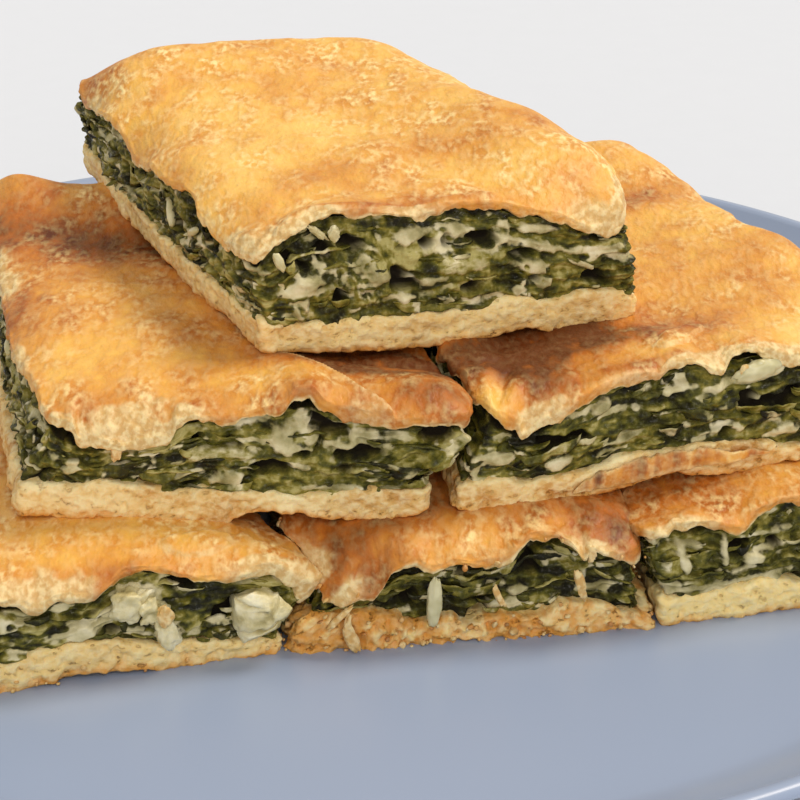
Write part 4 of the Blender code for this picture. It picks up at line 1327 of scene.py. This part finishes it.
def add_flap(place, material):
    """A torn flap of the base's browned skin that folds out over the middle part of a slice's front, like a
    shelf that hangs down."""
    rim = Rim(place)
    steps = 160
    t = np.linspace(0, 1, steps)[None]
    x = place.width * (0.28 + 0.47 * t)
    end = tapered(t, 6)
    wave = place.noise(x, 0, 0, 9, 2, 70)
    fine = place.noise(x, 0, 0, 2.6, 3, 71)
    height = line_through([(0, 0.8), (0.3, 2.0), (0.5, 3.1), (0.75, 3.6), (1, 4.2)], t) + 0.2 * fine
    inset = -1.5 - 0.4 * wave + 0.2 * fine + 1.2 * (1 - end)
    tilt, curl = np.radians(-72 + 8 * wave), np.radians(-20 + 14 * fine)
    width = (line_through([(0, 3.2), (0.3, 4.6), (0.5, 4.3), (0.75, 3.0), (1, 0.8)], t) + 0.3 * fine) * end
    thickness = (0.8 + 0.3 * fine) * end
    x, y, z = strip_points(rim, x - CORNER_RADIUS, height, inset, tilt, curl, width, thickness)
    look = np.zeros((1, steps, 1)) + np.array([0.95, 0.6, 0, 0.1, 0.5, 0.3, 0.4, 0.7])
    look = np.clip(look + 0.6 * ease(1 - 8 * t[..., None]), 0, 1)
    brown = 0 * look + 0.45 + 0.5 * fine[..., None]
    make_piece(place.name + "_base_flap", place.points(x, y, z), [strip_faces(1, steps)], material,
               "golden_crust", rim=look, brown=brown, blister=0 * look + 0.2)


def add_crumbs(place, material):
    """Crumbs of crust and dough that cling to the lip and to the base's cut, more and larger ones where
    that is crumbly."""
    random = np.random.default_rng(place.seed * 5)
    rim = Rim(place)
    crumbly = CRUMBLY[place.name]
    count = int(30 + 420 * crumbly)
    run = random.uniform(0, rim.length, count)
    x, y, out_x, out_y = rim.at(run)
    at_lip = random.uniform(0, 1, count) < 0.1
    up = random.uniform(-0.1, 1, count) * place.base_top(x, y) * (0.3 + 0.8 * crumbly)
    z = np.where(at_lip, place.lip(x, y) + random.uniform(-0.2, 1.6, count), place.base_low(x, y) + up)
    size = random.uniform(0.2, 0.4, count) * (1 + 1.1 * crumbly * random.uniform(0, 1, count) ** 2)
    stand = np.where(at_lip, 0.3, 0.1) + 0.1 * size
    centres = columns(x + stand * out_x, y + stand * out_y, z)
    sizes = size[:, None] * random.uniform(0.8, 1.3, (count, 3))
    turns = random.uniform(0, 180, (count, 3))
    points, faces = nuggets(centres, sizes, turns, 0.35, place.seed + 1, 5, 7, 0.8)
    zero = np.zeros(points.shape[:2])
    tones = random.uniform(0, 1, (count, 1)) + zero
    rims = 0.9 - 0.8 * tones * (tones > 0.5)
    make_piece(place.name + "_crumbs", place.points(*np.moveaxis(points, -1, 0)), faces, material,
               "golden_crust", rim=rims, brown=tones * 0.7, blister=zero)


# ---------------------------------------------------------------- plate

PLATE_STEPS = 288
RIM_WIDTH, RIM_HEIGHT = 25, 12  # mm
PLATE_WALL, PLATE_LIP = 4.4, 1.5  # mm: the floor's thickness, and the lip's radius
FOOT_INSET = 71  # mm from the plate's edge to the foot ring


def add_plate(material):
    """The plate's half section turned once round: a flat middle, a rim that curves up to a thin round lip,
    the same curve back underneath, and a turned foot ring. Radii and heights are read from the CAD
    plate."""
    _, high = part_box("plate")
    radius, top = high.x / MM, high.z / MM
    well, floor = radius - RIM_WIDTH, top - RIM_HEIGHT
    wall, lip = PLATE_WALL, PLATE_LIP
    share = np.linspace(0, 1, 25)[1:]
    upper_r = well + (radius - 2 * lip - well) * share
    upper_z = floor + (top - floor) * share**1.7
    under_r = well + (radius - 0.7 * lip - well) * share
    under_z = floor + (top - floor) * share**1.7 - (wall + (2 * lip - wall) * share)
    bend = np.radians([60, 30, 0, -30, -60])
    foot = radius - FOOT_INSET
    section = [(0, floor), (well * 0.3, floor), (well * 0.7, floor), (well * 0.97, floor), (well, floor)]
    section += list(zip(upper_r, upper_z))
    section += [(radius - lip + lip * math.cos(t), top - lip + lip * math.sin(t)) for t in bend]
    section += list(zip(under_r, under_z))[::-1]
    section += [(foot + 8, floor - wall), (foot + 1.5, floor - wall - 0.6), (foot, 0.8), (foot - 0.8, 0.0),
                (foot - 5.2, 0.0), (foot - 6, 0.8), (foot - 8, 3.2), (0, 3.2)]
    section = np.array(section)
    turn = np.arange(PLATE_STEPS) * 2 * np.pi / PLATE_STEPS
    inner = section[1:-1]
    rings = columns(inner[:, :1] * np.cos(turn), inner[:, :1] * np.sin(turn),
                    inner[:, 1:] + 0 * turn).reshape(-1, 3)
    points = np.concatenate([rings, [(0, 0, section[0, 1]), (0, 0, section[-1, 1])]]) * MM
    faces = closed_faces(len(inner), PLATE_STEPS)
    make_piece("glazed_plate", points, faces, material, "glazed_plate", ["plate"])


# ---------------------------------------------------------------- studio

CAMERA_AT = (0.0145, -0.4722, 0.2430)
LOOK_AT = (0.0145, 0.0295, 0.0083)
LENS = 103.8  # mm on a 36 mm sensor
FLOOR_HALF = 3.0
LAMPS = (  # name, turn from the front towards +X and lift in degrees, power, spread in degrees, colour
    ("key", 122, 54, 2.1, 22, "#fff4e4"),
    ("front_fill", 5, 22, 0.95, 50, "#fff6ea"),
    ("window", 30, 44, 0.3, 4, "#f4f6ff"),
)
AIR = ("#fbfbfa", 0.52)


def add_studio(floor_material):
    """A pale floor, a soft key from the right, a weaker fill from the front, a small bright window for the
    wet glints, and the camera."""
    half, z = FLOOR_HALF, cad_box[0][2]
    corners = [(-half, -half, z), (half, -half, z), (half, half, z), (-half, half, z)]
    mesh = bpy.data.meshes.new("studio_floor")
    mesh.from_pydata(corners, [], [(0, 1, 2, 3)])
    mesh.materials.append(floor_material)
    floor = bpy.data.objects.new("studio_floor", mesh)
    bpy.context.scene.collection.objects.link(floor)
    for name, turn, lift, power, spread, colour in LAMPS:
        lamp = bpy.data.lights.new(name, "SUN")
        lamp.energy = power
        lamp.angle = math.radians(spread)
        lamp.color = linear(colour)[:3]
        item = bpy.data.objects.new(name, lamp)
        item.rotation_euler = (math.radians(90 - lift), 0, math.radians(turn))
        bpy.context.scene.collection.objects.link(item)
    world = bpy.data.worlds.new("studio_air")
    world.use_nodes = True
    feed(world.node_tree, world.node_tree.nodes["Background"], {"Color": linear(AIR[0]), "Strength": AIR[1]})
    bpy.context.scene.world = world
    bpy.context.scene.view_settings.view_transform = "Standard"
    camera = bpy.data.cameras.new("camera")
    camera.lens, camera.sensor_width = LENS, 36.0
    camera.clip_start, camera.clip_end = 0.01, 20.0
    item = bpy.data.objects.new("camera", camera)
    item.location = CAMERA_AT
    reach = np.array(LOOK_AT) - CAMERA_AT
    down = math.atan2(-reach[2], math.hypot(reach[0], reach[1]))
    item.rotation_euler = (math.pi / 2 - down, 0, math.atan2(-reach[0], reach[1]))
    bpy.context.scene.collection.objects.link(item)
    bpy.context.scene.camera = item


def main():
    crust, base, filling, rice = golden_crust(), baked_base(), spinach_and_cheese(), boiled_rice()
    add_plate(glazed_stoneware())
    places = {name: Place(name) for name in SLICES}
    for place in places.values():
        add_base(place, base)
        add_filling(place, filling)
        add_lid(place, crust)
        add_grains(place, rice)
        if place.name in CRUMBLY:
            add_crumbs(place, crust)
    cheese = white_cheese()
    add_bits(places, {"rice": rice, "crust": crust, "cheese": cheese})
    add_flap(places["middle_right"], crust)
    add_chunk(cheese)
    add_studio(pale_floor())


main()
